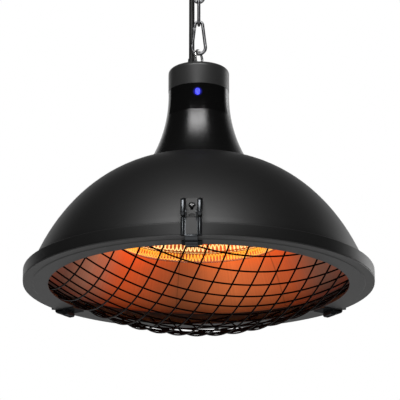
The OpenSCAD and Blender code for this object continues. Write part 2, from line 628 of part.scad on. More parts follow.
coil_steps = 8;
coil_sides = 6;
coil_margin = 0.9;
coil_count = coil_turns * coil_steps;
function coil_ring_angle(i) = -90 + lamp_gap_half + coil_margin
    + (360 - 2 * lamp_gap_half - 2 * coil_margin) * i / coil_count;
function coil_out(i) = let (p = coil_ring_angle(i), t = 360 * i / coil_steps)
    [cos(t) * cos(p), cos(t) * sin(p), sin(t)];
function coil_point(i) = let (p = coil_ring_angle(i)) lamp_r * [cos(p), sin(p), 0] + coil_r * coil_out(i);
function coil_along(i) = let (p = coil_ring_angle(i)) [-sin(p), cos(p), 0];
function unit(v) = v / norm(v);
coil_line = concat([coil_point(0) - coil_wire * coil_along(0)], [for (i = [0 : coil_count]) coil_point(i)],
    [coil_point(coil_count) + coil_wire * coil_along(coil_count)]);
function coil_ring(i) = let (
        last = len(coil_line) - 1,
        k = min(max(i - 1, 0), coil_count),
        ahead = i == 0 || i == last ? coil_along(k) : unit(coil_line[min(i + 1, last)] - coil_line[i - 1]),
        out = unit(coil_out(k) - ahead * (coil_out(k) * ahead)),
        side = cross(ahead, out))
    [for (s = [0 : coil_sides - 1]) coil_line[i] + coil_wire / 2 * (cos(60 * s) * out + sin(60 * s) * side)];
function coil_least_gap() = min([for (i = [1 : coil_count]) for (j = [i + 4 : min(i + coil_steps + 2, coil_count)])
    norm(coil_line[i] - coil_line[j])]) - coil_wire;
module coil(z) at_heater() translate([0, 0, z]) {
    last = len(coil_line) - 1;
    echo(least_gap_of_the_coil_to_itself_mm = coil_least_gap());
    polyhedron(
        [for (i = [0 : last]) each coil_ring(i)],
        concat(
            [for (i = [0 : last - 1]) for (s = [0 : coil_sides - 1])
                let (a = i * coil_sides, m = (s + 1) % coil_sides)
                each [[a + s, a + coil_sides + s, a + coil_sides + m], [a + s, a + coil_sides + m, a + m]]],
            [for (s = [1 : coil_sides - 2]) each
                [[0, s, s + 1], last * coil_sides * [1, 1, 1] + [0, s + 1, s]]]));
}
module filament_lower() color("#ffc24a") coil(lamp_z);
module filament_upper() color("#ffc24a") coil(lamp_top);
module lamp_end_caps() color("#e9e4d8") at_heater() translate([0, 0, lamp_z]) for (side = [0, 1]) mirror([side, 0, 0])
    rotate([0, 0, -90 + cap_gap_half]) rotate_extrude(angle = lamp_gap_half - cap_gap_half)
        translate([lamp_r - cap_half, -cap_half]) square([2 * cap_half, 2 * cap_half + channel_pitch + 1]);
post_at = 4.2;
post_top = dome_z_at_r(reflector_gap + reflector_t, lamp_r + 4 + post_r) - rest_gap;
module cap_posts() color("#9a9da1") at_heater() for (side = [-1, 1])
    rotate([0, 0, side * post_at]) translate([0, -lamp_r - 4, lamp_top + cap_half + 1])
        cylinder(r = post_r, h = post_top - lamp_top - cap_half - 1);
clip_r = tube_r + rest_gap;
clip_top = dome_z_at_r(reflector_gap + reflector_t, lamp_r + 1.5) - rest_gap;
module lamp_clips() color("#a6a9ad") at_heater() for (a = clip_angles) rotate([0, 0, a])
    translate([lamp_r, 0, lamp_z]) {
        rotate([90, 0, 0]) linear_extrude(clip_w, center = true) translate([0, channel_pitch / 2]) difference() {
            stadium(2 * (clip_r + clip_t), 2 * (clip_r + clip_t) + channel_pitch);
            stadium(2 * clip_r, 2 * clip_r + channel_pitch);
        }
        translate([0, 0, channel_pitch + clip_r + 0.5]) cylinder(r = 1.5, h = clip_top - lamp_top - clip_r - 0.5);
    }
lead_mid_r = lamp_r * 0.59;
module lamp_leads() color("#d8d3c4") at_heater() for (side = [-1, 1]) bent_bar([
    [side * 6 - 5, 12, terminal_foot - 0.5], [side * 6, 2, seat_z + 5], [side * 6, -6, reflector_top + 5],
    [side * 7, -lead_mid_r, dome_z_at_r(reflector_gap, lead_mid_r) + 4],
    [side * lead_x, -lamp_r + 3, dome_z_at_r(reflector_gap, lamp_r) + 5],
    [side * lead_x, -lamp_r + 3, lamp_top + cap_half + 1]], lead_r);

// Guard: a stepped ring with an upright inner wall, and two layers of bowed wires
module guard_ring() color("#4a4a4c") at_heater() rotate_extrude($fn = 180) polygon([
    [guard_r, -step_h], [step_r - 0.6, -step_h], [step_r + 0.6, 0], [rim_r - 0.2, 0], [rim_r - 0.2, guard_t],
    [lip_r, guard_t], [lip_r, guard_t + 7], [lip_r - sheet_t, guard_t + 7], [lip_r - sheet_t, guard_t],
    [step_r, guard_t], [step_r - 1.2, guard_t - step_h], [wall_r + sheet_t, guard_t - step_h],
    [wall_r + sheet_t, guard_wall_top], [wall_r, guard_wall_top], [wall_r, guard_t - step_h],
    [guard_r, guard_t - step_h]]);
mesh_ball_z = sqrt(pow(mesh_ball_r, 2) - pow(guard_r, 2)) + mesh_rim_z;
module guard_wire(across, ball_r) {
    r = sqrt(pow(ball_r, 2) - pow(across, 2));
    half = asin(sqrt(pow(mesh_end_r, 2) - pow(across, 2)) / r);
    translate([across, 0, mesh_ball_z]) upright_y() ring_arc(r, mesh_wire, -90 - half, -90 + half);
}
module guard_layer(turn, ball_r) at_heater() rotate([0, 0, turn])
    for (i = [-ceil(guard_r / mesh_pitch) : ceil(guard_r / mesh_pitch)])
        if (abs(i * mesh_pitch + mesh_shift) < mesh_reach) guard_wire(i * mesh_pitch + mesh_shift, ball_r, $fn = 24);
module guard_wires_outer() color("#111112") guard_layer(mesh_turn, mesh_ball_r);
module guard_wires_inner() color("#111112") guard_layer(mesh_turn + 90, mesh_ball_r - mesh_wire - 0.1);

// Latches: a base screwed to the dome, a pin, and a lever whose foot hooks under the guard ring
module along_base() translate([0, -base_r, base_z]) rotate([90 - base_tilt, 0, 0]) children();
base_up = 10.5;
base_down = 18;
keyhole_l = 7.6;
module latch_base() difference() {
    union() {
        along_base() translate([0, (base_up - base_down) / 2, 0]) linear_extrude(base_t)
            rounded_plate(2 * latch_half - 0.4, base_up + base_down, 2.5);
        for (side = [-1, 1]) translate([side * (ear_gap_half + latch_half) / 2, 0, 0])
            rotate([90, 0, 90]) linear_extrude(latch_half - ear_gap_half, center = true) ear_outline();
    }
    along_base() translate([0, 0, -1]) {
        cylinder(r = latch_screw_r + shank_gap, h = base_t + 2);
        translate([-1.4, -keyhole_l, 0]) cube([2.8, keyhole_l, base_t + 2]);
    }
    translate([0, pin_y, pin_z]) rotate([0, 90, 0]) cylinder(r = pin_r + running_gap, h = 40, center = true);
}
// side view of an ear: from the base plate out to the pin
module ear_outline() {
    top = [-base_r - 1.5 + 9 * sin(base_tilt), base_z + 9 * cos(base_tilt)];
    translate([pin_y, pin_z]) circle(r = ear_r);
    polygon([[pin_y - ear_r * cos(30), pin_z + ear_r * sin(30)], [pin_y + ear_r * cos(60), pin_z - ear_r * sin(60)],
        [-base_r - 1 - 9 * sin(base_tilt), base_z - 9 * cos(base_tilt)], [-base_r - 0.2 + 9 * sin(base_tilt), top[1]],
        [top[0] - 3.2, top[1] - 0.6]]);
}
module rounded_plate(w, h, r) {
    square([w - 2 * r, h], center = true);
    square([w, h - 2 * r], center = true);
    for (x = [-1, 1]) for (y = [-1, 1]) translate([x * (w / 2 - r), y * (h / 2 - r)]) circle(r = r);
}
module latch_bases() color("#1a1a1b") for (i = [0 : 2]) at_latch(i) latch_base();
module latch_screws() color("#3c3c3e") for (i = [0 : 2]) at_latch(i) along_base() {
    translate([0, 0, base_t]) cylinder(r1 = latch_head_r, r2 = latch_head_r - 1.4, h = 2.2);
    translate([0, 0, -5]) cylinder(r = latch_screw_r, h = base_t + 5);
}
module latch_pins() color("#6a6c70") for (i = [0 : 2]) at_latch(i) translate([0, pin_y, pin_z])
    rotate([0, 90, 0]) cylinder(r = pin_r, h = 2 * latch_half + 1, center = true);

module latch_lever() difference() {
    union() {
        translate([0, pin_y, pin_z]) rotate([0, 90, 0])
            cylinder(r = knuckle_r, h = 2 * ear_gap_half - 2 * rest_gap, center = true);
        translate([-ear_gap_half + rest_gap, -lever_back - lever_t, lever_top - 1])
            cube([2 * ear_gap_half - 2 * rest_gap, lever_t, pin_z - lever_top + 1]);
        translate([-latch_half, -lever_back - lever_t, plate_foot])
            cube([2 * latch_half, lever_t, lever_top - plate_foot]);
        translate([-hook_w / 2, -lever_back - lever_t, hook_top - lever_t])
            cube([hook_w, lever_t, plate_foot + 1 - hook_top + lever_t]);
        for (side = [-1, 1]) translate([side * (latch_half - rail_w / 2), -lever_back - lever_t - rail_h / 2, 0])
            rail();
        translate([0, 0, hook_top - lever_t]) linear_extrude(lever_t) hook_outline(hook_reach, lever_back + 1);
        translate([0, 0, hook_top - lever_t - heel_h]) linear_extrude(heel_h + 0.5)
            hook_outline(hook_reach, hook_reach + heel_w);
    }
    translate([0, pin_y, pin_z]) rotate([0, 90, 0]) cylinder(r = pin_r + running_gap, h = 40, center = true);
}
module rail() translate([0, 0, plate_foot])
    linear_extrude(lever_top - plate_foot - 0.5) rounded_plate(rail_w, rail_h + 1, 1.2);
// plan of what reaches inwards under the guard ring, with rounded inner corners
module hook_outline(inner_r, outer_r) {
    tip_r = 3;
    translate([-hook_w / 2, -outer_r]) square([hook_w, outer_r - inner_r - tip_r]);
    translate([-hook_w / 2 + tip_r, -inner_r - tip_r - 1]) square([hook_w - 2 * tip_r, tip_r + 1]);
    for (side = [-1, 1]) translate([side * (hook_w / 2 - tip_r), -inner_r - tip_r]) circle(r = tip_r);
}
module latch_cover() translate([0, -lever_back - lever_t, (lever_top + plate_foot) / 2]) rotate([90, 0, 0])
    linear_extrude(cover_t) rounded_plate(2 * cover_half, lever_top - plate_foot - 1.6, 1);
// strike plate under the ring's inner flat, its inner corners rounded
strike_corner = 4;
module strike_plate() translate([0, 0, -step_h - strike_t]) linear_extrude(strike_t) {
    translate([-latch_half, -strike_to]) square([2 * latch_half, strike_to - strike_from - strike_corner]);
    translate([-latch_half + strike_corner, -strike_from - strike_corner - 1])
        square([2 * (latch_half - strike_corner), strike_corner + 1]);
    for (side = [-1, 1]) translate([side * (latch_half - strike_corner), -strike_from - strike_corner])
        circle(r = strike_corner);
}
module strike_plates() color("#2e2e30") for (i = [0 : 2]) at_latch(i) strike_plate();
module latch_lever_front() color("#151516") at_latch(0) latch_lever();
module latch_lever_right() color("#151516") at_latch(1) latch_lever();
module latch_lever_left() color("#151516") at_latch(2) latch_lever();
module latch_cover_front() color("#3a3a3c") at_latch(0) latch_cover();
module latch_cover_right() color("#3a3a3c") at_latch(1) latch_cover();
module latch_cover_left() color("#3a3a3c") at_latch(2) latch_cover();

ceiling_plate();
ceiling_hook();
hook_nut();
cable_grommet();
chain_link_upper();
chain_link_lower();
carabiner_body();
carabiner_gate();
gate_pin();
supply_cable_top();
supply_cable_upper();
supply_cable_lower();
supply_cable_bottom();
strain_relief();
hanging_eye();
eye_spacer();
eye_nut();
load_plate();
plate_screws();
chassis();
terminal_block();
inner_cable();
control_board();
board_standoffs();
power_relay();
signal_receiver();
light_lens();
control_window();
top_cap();
neck_housing();
neck_screws();
shield_spacers();
reflector_spacers();
heat_shield();
thermal_cutout();
outer_dome();
reflector();
lamp_tube();
filament_lower();
filament_upper();
lamp_end_caps();
cap_posts();
lamp_clips();
lamp_leads();
guard_ring();
guard_wires_outer();
guard_wires_inner();
strike_plates();
latch_bases();
latch_screws();
latch_pins();
latch_lever_front();
latch_lever_right();
latch_lever_left();
latch_cover_front();
latch_cover_right();
latch_cover_left();
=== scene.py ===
import math

import bmesh
import bpy
from mathutils import Matrix, Vector


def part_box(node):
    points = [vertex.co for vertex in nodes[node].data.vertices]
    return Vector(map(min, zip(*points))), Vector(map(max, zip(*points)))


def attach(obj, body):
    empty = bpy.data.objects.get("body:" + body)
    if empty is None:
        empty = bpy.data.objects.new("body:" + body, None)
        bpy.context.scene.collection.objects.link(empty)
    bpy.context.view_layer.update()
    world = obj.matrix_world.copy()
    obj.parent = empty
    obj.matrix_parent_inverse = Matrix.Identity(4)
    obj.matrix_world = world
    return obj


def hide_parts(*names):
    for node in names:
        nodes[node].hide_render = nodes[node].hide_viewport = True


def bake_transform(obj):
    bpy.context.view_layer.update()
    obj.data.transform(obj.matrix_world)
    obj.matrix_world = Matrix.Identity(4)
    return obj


# Pendant infrared heater. Metres, Z up, -Y to the viewer, the origin at the middle of the ceiling plate.
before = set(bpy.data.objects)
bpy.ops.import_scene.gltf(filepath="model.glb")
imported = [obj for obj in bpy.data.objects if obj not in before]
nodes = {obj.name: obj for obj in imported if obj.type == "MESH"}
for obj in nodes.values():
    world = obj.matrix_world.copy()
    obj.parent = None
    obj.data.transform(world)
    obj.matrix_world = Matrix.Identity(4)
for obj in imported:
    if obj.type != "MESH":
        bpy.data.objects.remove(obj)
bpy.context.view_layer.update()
scene = bpy.context.scene
MM = 0.001
RIM = -0.4499      # height of the rim's lower edge


def add_object(name, data):
    o = bpy.data.objects.new(name, data)
    scene.collection.objects.link(o)
    return o


# Camera, fitted to the ellipses of the rim and the cap

EYE = Vector((0.112, -2.798, RIM - 0.767))
HEADING = math.radians(92.262)
PITCH = 0.303      # radians
FOCAL_LENGTH, SENSOR_WIDTH = 216, 36      # millimetres


def make_camera():
    level = math.cos(PITCH)
    ahead = Vector((level * math.cos(HEADING), level * math.sin(HEADING), math.sin(PITCH)))
    right = Vector((math.sin(HEADING), -math.cos(HEADING), 0))
    up = right.cross(ahead)
    data = bpy.data.cameras.new("camera")
    data.lens, data.sensor_width = FOCAL_LENGTH, SENSOR_WIDTH
    data.clip_start, data.clip_end = 0.05, 60
    camera = add_object("camera", data)
    camera.matrix_world = Matrix.Translation(EYE) @ Matrix((right, up, -ahead)).transposed().to_4x4()
    scene.camera = camera


make_camera()
scene.view_settings.view_transform = "Standard"

# Materials


def feed(tree, socket, value):
    """Links another node's output to a socket, or sets the socket's own value."""
    if hasattr(value, "is_output"):
        tree.links.new(value, socket)
    else:
        socket.default_value = value


def put(tree, kind, sockets=None, **values):
    """Adds a node, with its settings and what feeds its sockets."""
    n = tree.nodes.new(kind)
    for k, v in values.items():
        setattr(n, k, v)
    for k, v in (sockets or {}).items():
        feed(tree, n.inputs[k], v)
    return n


def surface_group(name, inputs):
    """A shader node group with named inputs that gives a colour, a roughness and a height."""
    tree = bpy.data.node_groups.new(name, "ShaderNodeTree")
    for label, kind, value in inputs:
        s = tree.interface.new_socket(label, in_out="INPUT", socket_type="NodeSocket" + kind)
        s.default_value = value
    for label, kind in (("Colour", "Color"), ("Roughness", "Float"), ("Height", "Float")):
        tree.interface.new_socket(label, in_out="OUTPUT", socket_type="NodeSocket" + kind)
    return tree, tree.nodes.new("NodeGroupInput"), tree.nodes.new("NodeGroupOutput")


def maths(tree, operation, a, b=0.0):
    return put(tree, "ShaderNodeMath", {0: a, 1: b}, operation=operation).outputs[0]


def mix_colour(tree, mask, a, b, kind="MIX"):
    """Mixes two colours. The node's inputs 6 and 7 and its output 2 are those for colours."""
    n = put(tree, "ShaderNodeMix", {0: mask, 6: a, 7: b}, data_type="RGBA", blend_type=kind)
    return n.outputs[2]


def noise(tree, where, scale, detail=2.0, rough=0.5):
    sockets = {"Vector": where, "Scale": scale, "Detail": detail, "Roughness": rough}
    return put(tree, "ShaderNodeTexNoise", sockets).outputs["Fac"]


def object_place(tree):
    return put(tree, "ShaderNodeTexCoord").outputs["Object"]


def bump(tree, bsdf, height, relief, depth):
    b = put(tree, "ShaderNodeBump", {"Strength": relief, "Distance": depth, "Height": height})
    tree.links.new(b.outputs[0], bsdf.inputs["Normal"])


def make_powder_group():
    """Powder-coat orange peel: fine grain in the height, soft blotches in the colour and the gloss."""
    tree, given, out = surface_group("powder_coat", [
        ("Place", "Vector", (0, 0, 0)), ("Colour", "Color", (0.03, 0.03, 0.03, 1)),
        ("Grain scale", "Float", 900), ("Roughness", "Float", 0.5), ("Spread", "Float", 0.08),
        ("Lift", "Float", 0.25)])
    place, colour = given.outputs["Place"], given.outputs["Colour"]
    fine = noise(tree, place, given.outputs["Grain scale"], 2, 0.6)
    broad = noise(tree, place, 9, 3, 0.55)
    lighter = mix_colour(tree, 1.0, colour, (1.7, 1.7, 1.7, 1), "MULTIPLY")
    mask = maths(tree, "MULTIPLY", maths(tree, "MULTIPLY", fine, broad), given.outputs["Lift"])
    shift = maths(tree, "MULTIPLY", maths(tree, "SUBTRACT", broad, 0.5), given.outputs["Spread"])
    feed(tree, out.inputs["Colour"], mix_colour(tree, mask, colour, lighter))
    feed(tree, out.inputs["Roughness"], maths(tree, "ADD", given.outputs["Roughness"], shift))
    feed(tree, out.inputs["Height"], fine)
    return tree


def make_metal_group():
    """Drawn or plated metal: streaks along one axis and dulled patches."""
    tree, given, out = surface_group("metal_finish", [
        ("Place", "Vector", (0, 0, 0)), ("Bright", "Color", (0.7, 0.7, 0.7, 1)),
        ("Dull", "Color", (0.4, 0.4, 0.4, 1)), ("Streak scale", "Float", 300),
        ("Roughness", "Float", 0.25), ("Spread", "Float", 0.2)])
    streaks = noise(tree, given.outputs["Place"], given.outputs["Streak scale"], 3, 0.65)
    patches = noise(tree, given.outputs["Place"], 60, 3, 0.6)
    mask = maths(tree, "MULTIPLY", maths(tree, "MULTIPLY", streaks, patches), 2.2)
    mask = maths(tree, "MINIMUM", mask, 1.0)
    shift = maths(tree, "MULTIPLY", maths(tree, "SUBTRACT", patches, 0.45), given.outputs["Spread"])
    feed(tree, out.inputs["Colour"], mix_colour(tree, mask, given.outputs["Bright"], given.outputs["Dull"]))
    feed(tree, out.inputs["Roughness"], maths(tree, "ADD", given.outputs["Roughness"], shift))
    feed(tree, out.inputs["Height"], streaks)
    return tree


powder = make_powder_group()
metal = make_metal_group()


def principled(name, sockets):
    """A new material that holds one Principled BSDF, with its tree and that node."""
    m = bpy.data.materials.new(name)
    m.use_nodes = True
    tree = m.node_tree
    tree.nodes.clear()
    bsdf = put(tree, "ShaderNodeBsdfPrincipled", sockets)
    put(tree, "ShaderNodeOutputMaterial", {"Surface": bsdf.outputs[0]})
    return m, tree, bsdf


def with_group(name, kit, values, sockets, relief, depth, stretch=None):
    """A material whose colour, gloss and relief come from a shared node group.

    The relief is the bump's strength and the depth its distance in metres."""
    m, tree, bsdf = principled(name, sockets)
    where = object_place(tree)
    if stretch:
        where = put(tree, "ShaderNodeMapping", {"Scale": stretch, "Vector": where}).outputs[0]
    g = put(tree, "ShaderNodeGroup", node_tree=kit)
    for k, v in {**values, "Place": where}.items():
        feed(tree, g.inputs[k], v)
    feed(tree, bsdf.inputs["Base Color"], g.outputs["Colour"])
    feed(tree, bsdf.inputs["Roughness"], g.outputs["Roughness"])
    bump(tree, bsdf, g.outputs["Height"], relief, depth)
    return m


def grey(v, tint=0.0):
    """A grey, with a tint towards blue."""
    return (v * (1 - tint), v, v * (1 + tint), 1)


def paint(name, colour, grain, rough, spread, lift, relief, depth=0.0002, **sockets):
    """Paint or moulded plastic, its roughness varied by the spread and its colour lightened by the lift."""
    values = {"Colour": colour, "Grain scale": grain, "Roughness": rough, "Spread": spread, "Lift": lift}
    return with_group(name, powder, values, sockets, relief, depth)


def plated(name, bright, dull, rough, streak=300, **sockets):
    """Plated or bare metal, with fine streaks along the upright axis."""
    values = {"Bright": bright, "Dull": dull, "Streak scale": streak, "Roughness": rough, "Spread": 0.2}
    return with_group(name, metal, values, {"Metallic": 1.0, **sockets}, 0.06, 0.00005, (1, 1, 0.15))


# A metal that stays dark at a glancing view
DARK_EDGE = {"Specular Tint": (0.05, 0.05, 0.05, 1)}

dome_paint = paint("dome_matte_black", grey(0.007), 1500, 0.46, 0.06, 0.5, 0.10)
ring_paint = paint("ring_charcoal", grey(0.034), 1500, 0.55, 0.05, 0.4, 0.08)
cap_paint = paint("cap_charcoal", grey(0.028), 1700, 0.40, 0.05, 0.5, 0.10)
neck_paint = paint("neck_grained_black", grey(0.004), 1000, 0.22, 0.05, 0.6, 0.40, 0.0003)
latch_paint = paint("latch_black_nickel", grey(0.085, 0.06), 1800, 0.30, 0.10, 0.5, 0.08, Metallic=0.9,
                    **DARK_EDGE)
base_paint = paint("latch_base_black", grey(0.014), 1800, 0.42, 0.08, 0.5, 0.08)
latch_plate = paint("latch_cover_grey", grey(0.045), 1800, 0.45, 0.08, 0.5, 0.06)
# The wires' dark red cast is painted lamp light.
wire_paint_lamp_tinted = paint("wire_black_painted_red_cast", (0.0025, 0.001, 0.0008, 1), 2500, 0.36, 0.12, 0.5, 0.06,
                   **{"Specular IOR Level": 0.012})
plate_paint = paint("ceiling_plate_black", grey(0.025), 1400, 0.45, 0.08, 0.5, 0.12)
black_screw = paint("blackened_screw", grey(0.16), 2600, 0.26, 0.12, 0.6, 0.05, Metallic=0.9)
zinc = plated("bright_zinc", (0.62, 0.63, 0.64, 1), (0.34, 0.34, 0.35, 1), 0.22)
chain_steel = plated("chain_dark_plate", (0.30, 0.30, 0.31, 1), (0.10, 0.10, 0.11, 1), 0.34, 420, **DARK_EDGE)
carabiner_steel = plated("carabiner_plate", (0.32, 0.32, 0.33, 1), (0.12, 0.12, 0.125, 1), 0.34, 380,
                         **DARK_EDGE)
eye_steel = plated("eye_plate", (0.78, 0.78, 0.78, 1), (0.50, 0.50, 0.50, 1), 0.20, 350)
spring_steel = plated("spring_steel", (0.5, 0.5, 0.52, 1), (0.25, 0.25, 0.26, 1), 0.28)
shield_aluminium = plated("shield_aluminium", (0.72, 0.73, 0.74, 1), (0.5, 0.5, 0.5, 1), 0.38, 160)
rubber = paint("grommet_rubber", grey(0.012), 1200, 0.62, 0.10, 0.5, 0.15)
cable_rubber = paint("cable_rubber", grey(0.012), 1900, 0.40, 0.06, 0.4, 0.05)
ceramic = paint("fired_ceramic", (0.80, 0.77, 0.70, 1), 1400, 0.55, 0.08, 0.1, 0.12)
relay_case = paint("relay_blue", (0.03, 0.07, 0.16, 1), 1000, 0.4, 0.06, 0.3, 0.05)
receiver_black = paint("receiver_black", (0.012, 0.006, 0.006, 1), 900, 0.15, 0.04, 0.2, 0.02)
cutout_black = paint("cutout_black", grey(0.015), 900, 0.5, 0.06, 0.4, 0.06)
board_green = paint("board_green", (0.01, 0.09, 0.03, 1), 700, 0.3, 0.1, 0.5, 0.05, **{"Coat Weight": 0.4})


def make_sleeve():
    m, tree, bsdf = principled("braided_glass_sleeve", {"Roughness": 0.8, "Sheen Weight": 0.3})
    sockets = {"Vector": object_place(tree), "Scale": 260, "Distortion": 1.5}
    weave = put(tree, "ShaderNodeTexWave", sockets).outputs["Fac"]
    feed(tree, bsdf.inputs["Base Color"],
         mix_colour(tree, weave, (0.72, 0.69, 0.60, 1), (0.45, 0.42, 0.35, 1)))
    bump(tree, bsdf, weave, 0.4, 0.0003)
    return m


def ramp(tree, fac, stops):
    n = put(tree, "ShaderNodeValToRGB", {0: fac})
    while len(n.color_ramp.elements) < len(stops):
        n.color_ramp.elements.new(0.5)
    for e, (at, colour) in zip(n.color_ramp.elements, stops):
        e.position, e.color = at, (*colour, 1)
    return n.outputs[0]


def round_noise(tree, turn, times, detail, rough=0.5):
    """Noise that runs round the heater's axis, so that it makes upright bands."""
    sockets = {"W": maths(tree, "MULTIPLY", turn, times), "Scale": 1.0, "Detail": detail, "Roughness": rough}
    return put(tree, "ShaderNodeTexNoise", sockets, noise_dimensions="1D").outputs["Fac"]


# The painted glow of the lamp's light round the reflector as (part of a turn, colour): amber on the far side,
# red beside the lamp and a dull pink at the ends
PAINTED_GLOW_ROUND = [(0.0, (0.30, 0.060, 0.020)), (0.30, (0.10, 0.05, 0.04)), (0.345, (0.26, 0.11, 0.08)),
              (0.40, (0.50, 0.060, 0.012)), (0.47, (0.17, 0.040, 0.016)), (0.54, (0.54, 0.13, 0.040)),
              (0.61, (0.38, 0.060, 0.018)), (0.665, (0.10, 0.055, 0.045)), (1.0, (0.30, 0.060, 0.020))]
# The painted glow's strength from the rim up to the lamp, dark to bright
PAINTED_GLOW_UP = [(0.0, (0.30, 0.30, 0.30)), (0.35, (0.95, 0.90, 0.85)), (0.75, (1.4, 1.15, 0.95)),
           (1.0, (2.1, 1.3, 0.6))]
PAINTED_GLOW_FOOT, PAINTED_GLOW_HEIGHT = RIM + 0.016, 0.06
SEAM_MIDDLE, SEAM_SPREAD, SEAM_HALF = 0.20, 0.40, 0.004      # radians round the axis from the far side


def make_reflector():
    """Polished sheet with two seams, tinted orange in upright bands as painted lamp light, with a painted
    glow of the lamp's light.
    """
    m, tree, bsdf = principled("polished_reflector", {"Metallic": 1.0, "Emission Strength": 1.0})

    def times(a, b):
        return maths(tree, "MULTIPLY", a, b)

    def plus(a, b):
        return maths(tree, "ADD", a, b)

    def minus(a, b):
        return maths(tree, "SUBTRACT", a, b)

    x, y, z = put(tree, "ShaderNodeSeparateXYZ", {0: object_place(tree)}).outputs
    turn = maths(tree, "ARCTAN2", x, y)
    bands = round_noise(tree, turn, 5.0, 1.0)
    fine = round_noise(tree, turn, 70.0, 4.0, 0.7)
    # The base colour is painted lamp light: an orange tint, varied in upright bands.
    tint = mix_colour(tree, bands, (0.26, 0.085, 0.03, 1), (0.18, 0.06, 0.02, 1))
    feed(tree, bsdf.inputs["Base Color"], mix_colour(tree, times(fine, 0.35), tint, (0.12, 0.045, 0.02, 1)))
    feed(tree, bsdf.inputs["Roughness"], plus(times(fine, 0.14), 0.28))

    part_turn = plus(times(turn, 0.5 / math.pi), 0.5)
    # The emission is a painted glow of the lamp's light, round the reflector and up from the rim.
    glow = ramp(tree, plus(part_turn, times(minus(bands, 0.5), 0.03)), PAINTED_GLOW_ROUND)
    level = ramp(tree, times(minus(z, PAINTED_GLOW_FOOT), 1 / PAINTED_GLOW_HEIGHT), PAINTED_GLOW_UP)
    # Painted shade: the seams and the fine bands dim the painted glow.
    from_seam = minus(maths(tree, "ABSOLUTE", minus(turn, SEAM_MIDDLE)), SEAM_SPREAD)
    seam = maths(tree, "LESS_THAN", maths(tree, "ABSOLUTE", from_seam), SEAM_HALF)
    streak = maths(tree, "MAXIMUM", times(fine, 0.5), seam)
    painted_seam_shade = mix_colour(tree, streak, (1, 1, 1, 1), (0.4, 0.4, 0.4, 1))
    painted_glow_colour = mix_colour(tree, 1.0, mix_colour(tree, 1.0, glow, level, "MULTIPLY"), painted_seam_shade, "MULTIPLY")
    feed(tree, bsdf.inputs["Emission Color"], painted_glow_colour)
    bump(tree, bsdf, minus(bands, seam), 0.25, 0.0004)
    return m


def make_glow(name, hot, cool, strength):
    """Glowing tungsten coil, unevenly hot along its turns."""
    sockets = {"Roughness": 0.5, "Base Color": (0.2, 0.1, 0.05, 1), "Emission Strength": strength}
    m, tree, bsdf = principled(name, sockets)
    heat = noise(tree, object_place(tree), 60)
    feed(tree, bsdf.inputs["Emission Color"], mix_colour(tree, heat, hot, cool))
    return m


def make_quartz():
    sockets = {"Base Color": (1.0, 0.90, 0.74, 1), "Transmission Weight": 1.0, "IOR": 1.45}
    m, tree, bsdf = principled("quartz_tube", sockets)
    haze = noise(tree, object_place(tree), 90, 3)
    feed(tree, bsdf.inputs["Roughness"], maths(tree, "ADD", maths(tree, "MULTIPLY", haze, 0.10), 0.01))
    bump(tree, bsdf, haze, 0.08, 0.0003)
    return m


PAINTED_BLOOM_OUTER, PAINTED_BLOOM_INNER = 0.0065, 0.0022      # the blue light's bloom on the window round its lens


def make_window():
    """Glossy smoked window, with the blue light's bloom painted round the lens as a glow."""
    sockets = {"Base Color": grey(0.004), "Specular IOR Level": 0.25, "Emission Strength": 0.5}
    m, tree, bsdf = principled("smoked_window_painted_bloom", sockets)
    where = object_place(tree)
    gloss = noise(tree, where, 350, 3)
    feed(tree, bsdf.inputs["Roughness"], maths(tree, "ADD", maths(tree, "MULTIPLY", gloss, 0.08), 0.07))
    low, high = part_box("light_lens")
    middle = (Vector(low) + Vector(high)) / 2
    away = put(tree, "ShaderNodeVectorMath", {0: where, 1: (middle.x, low[1], middle.z)},
               operation="DISTANCE").outputs["Value"]
    near = put(tree, "ShaderNodeMapRange", {"Value": away, "From Min": PAINTED_BLOOM_OUTER, "From Max": PAINTED_BLOOM_INNER},
               interpolation_type="SMOOTHSTEP").outputs[0]
    # The bloom is a painted glow: blue emission on the window near the lens.
    feed(tree, bsdf.inputs["Emission Color"], mix_colour(tree, near, (0, 0, 0, 1), (0.05, 0.05, 0.95, 1)))
    return m


def make_lens():
    sockets = {"Base Color": (0.02, 0.02, 0.6, 1), "Roughness": 0.15, "Emission Strength": 1.6}
    m, tree, bsdf = principled("blue_light_lens", sockets)
    grain = put(tree, "ShaderNodeTexVoronoi", {"Vector": object_place(tree), "Scale": 420.0})
    feed(tree, bsdf.inputs["Emission Color"],
         mix_colour(tree, grain.outputs["Distance"], (0.10, 0.12, 1.0, 1), (0.02, 0.02, 0.55, 1)))
    return m


sleeve, reflector_painted_glow = make_sleeve(), make_reflector()
tungsten = make_glow("glowing_tungsten", (1.0, 0.60, 0.09, 1), (1.0, 0.40, 0.02, 1), 1.2)
hot_tungsten = make_glow("hottest_tungsten", (1.0, 0.84, 0.44, 1), (1.0, 0.68, 0.22, 1), 1.5)
quartz, smoked, blue_lens = make_quartz(), make_window(), make_lens()

# Building tools


def from_bmesh(name, bm, material, sharp=40):
    """A shaded piece of a bmesh. Edges of more than the sharp angle, in degrees, stay sharp."""
    mesh = bpy.data.meshes.new(name)
    bmesh.ops.recalc_face_normals(bm, faces=bm.faces)
    bm.to_mesh(mesh)
    bm.free()
    mesh.materials.append(material)
    mesh.shade_smooth()
    mesh.set_sharp_from_angle(angle=math.radians(sharp))
    return add_object(name, mesh)


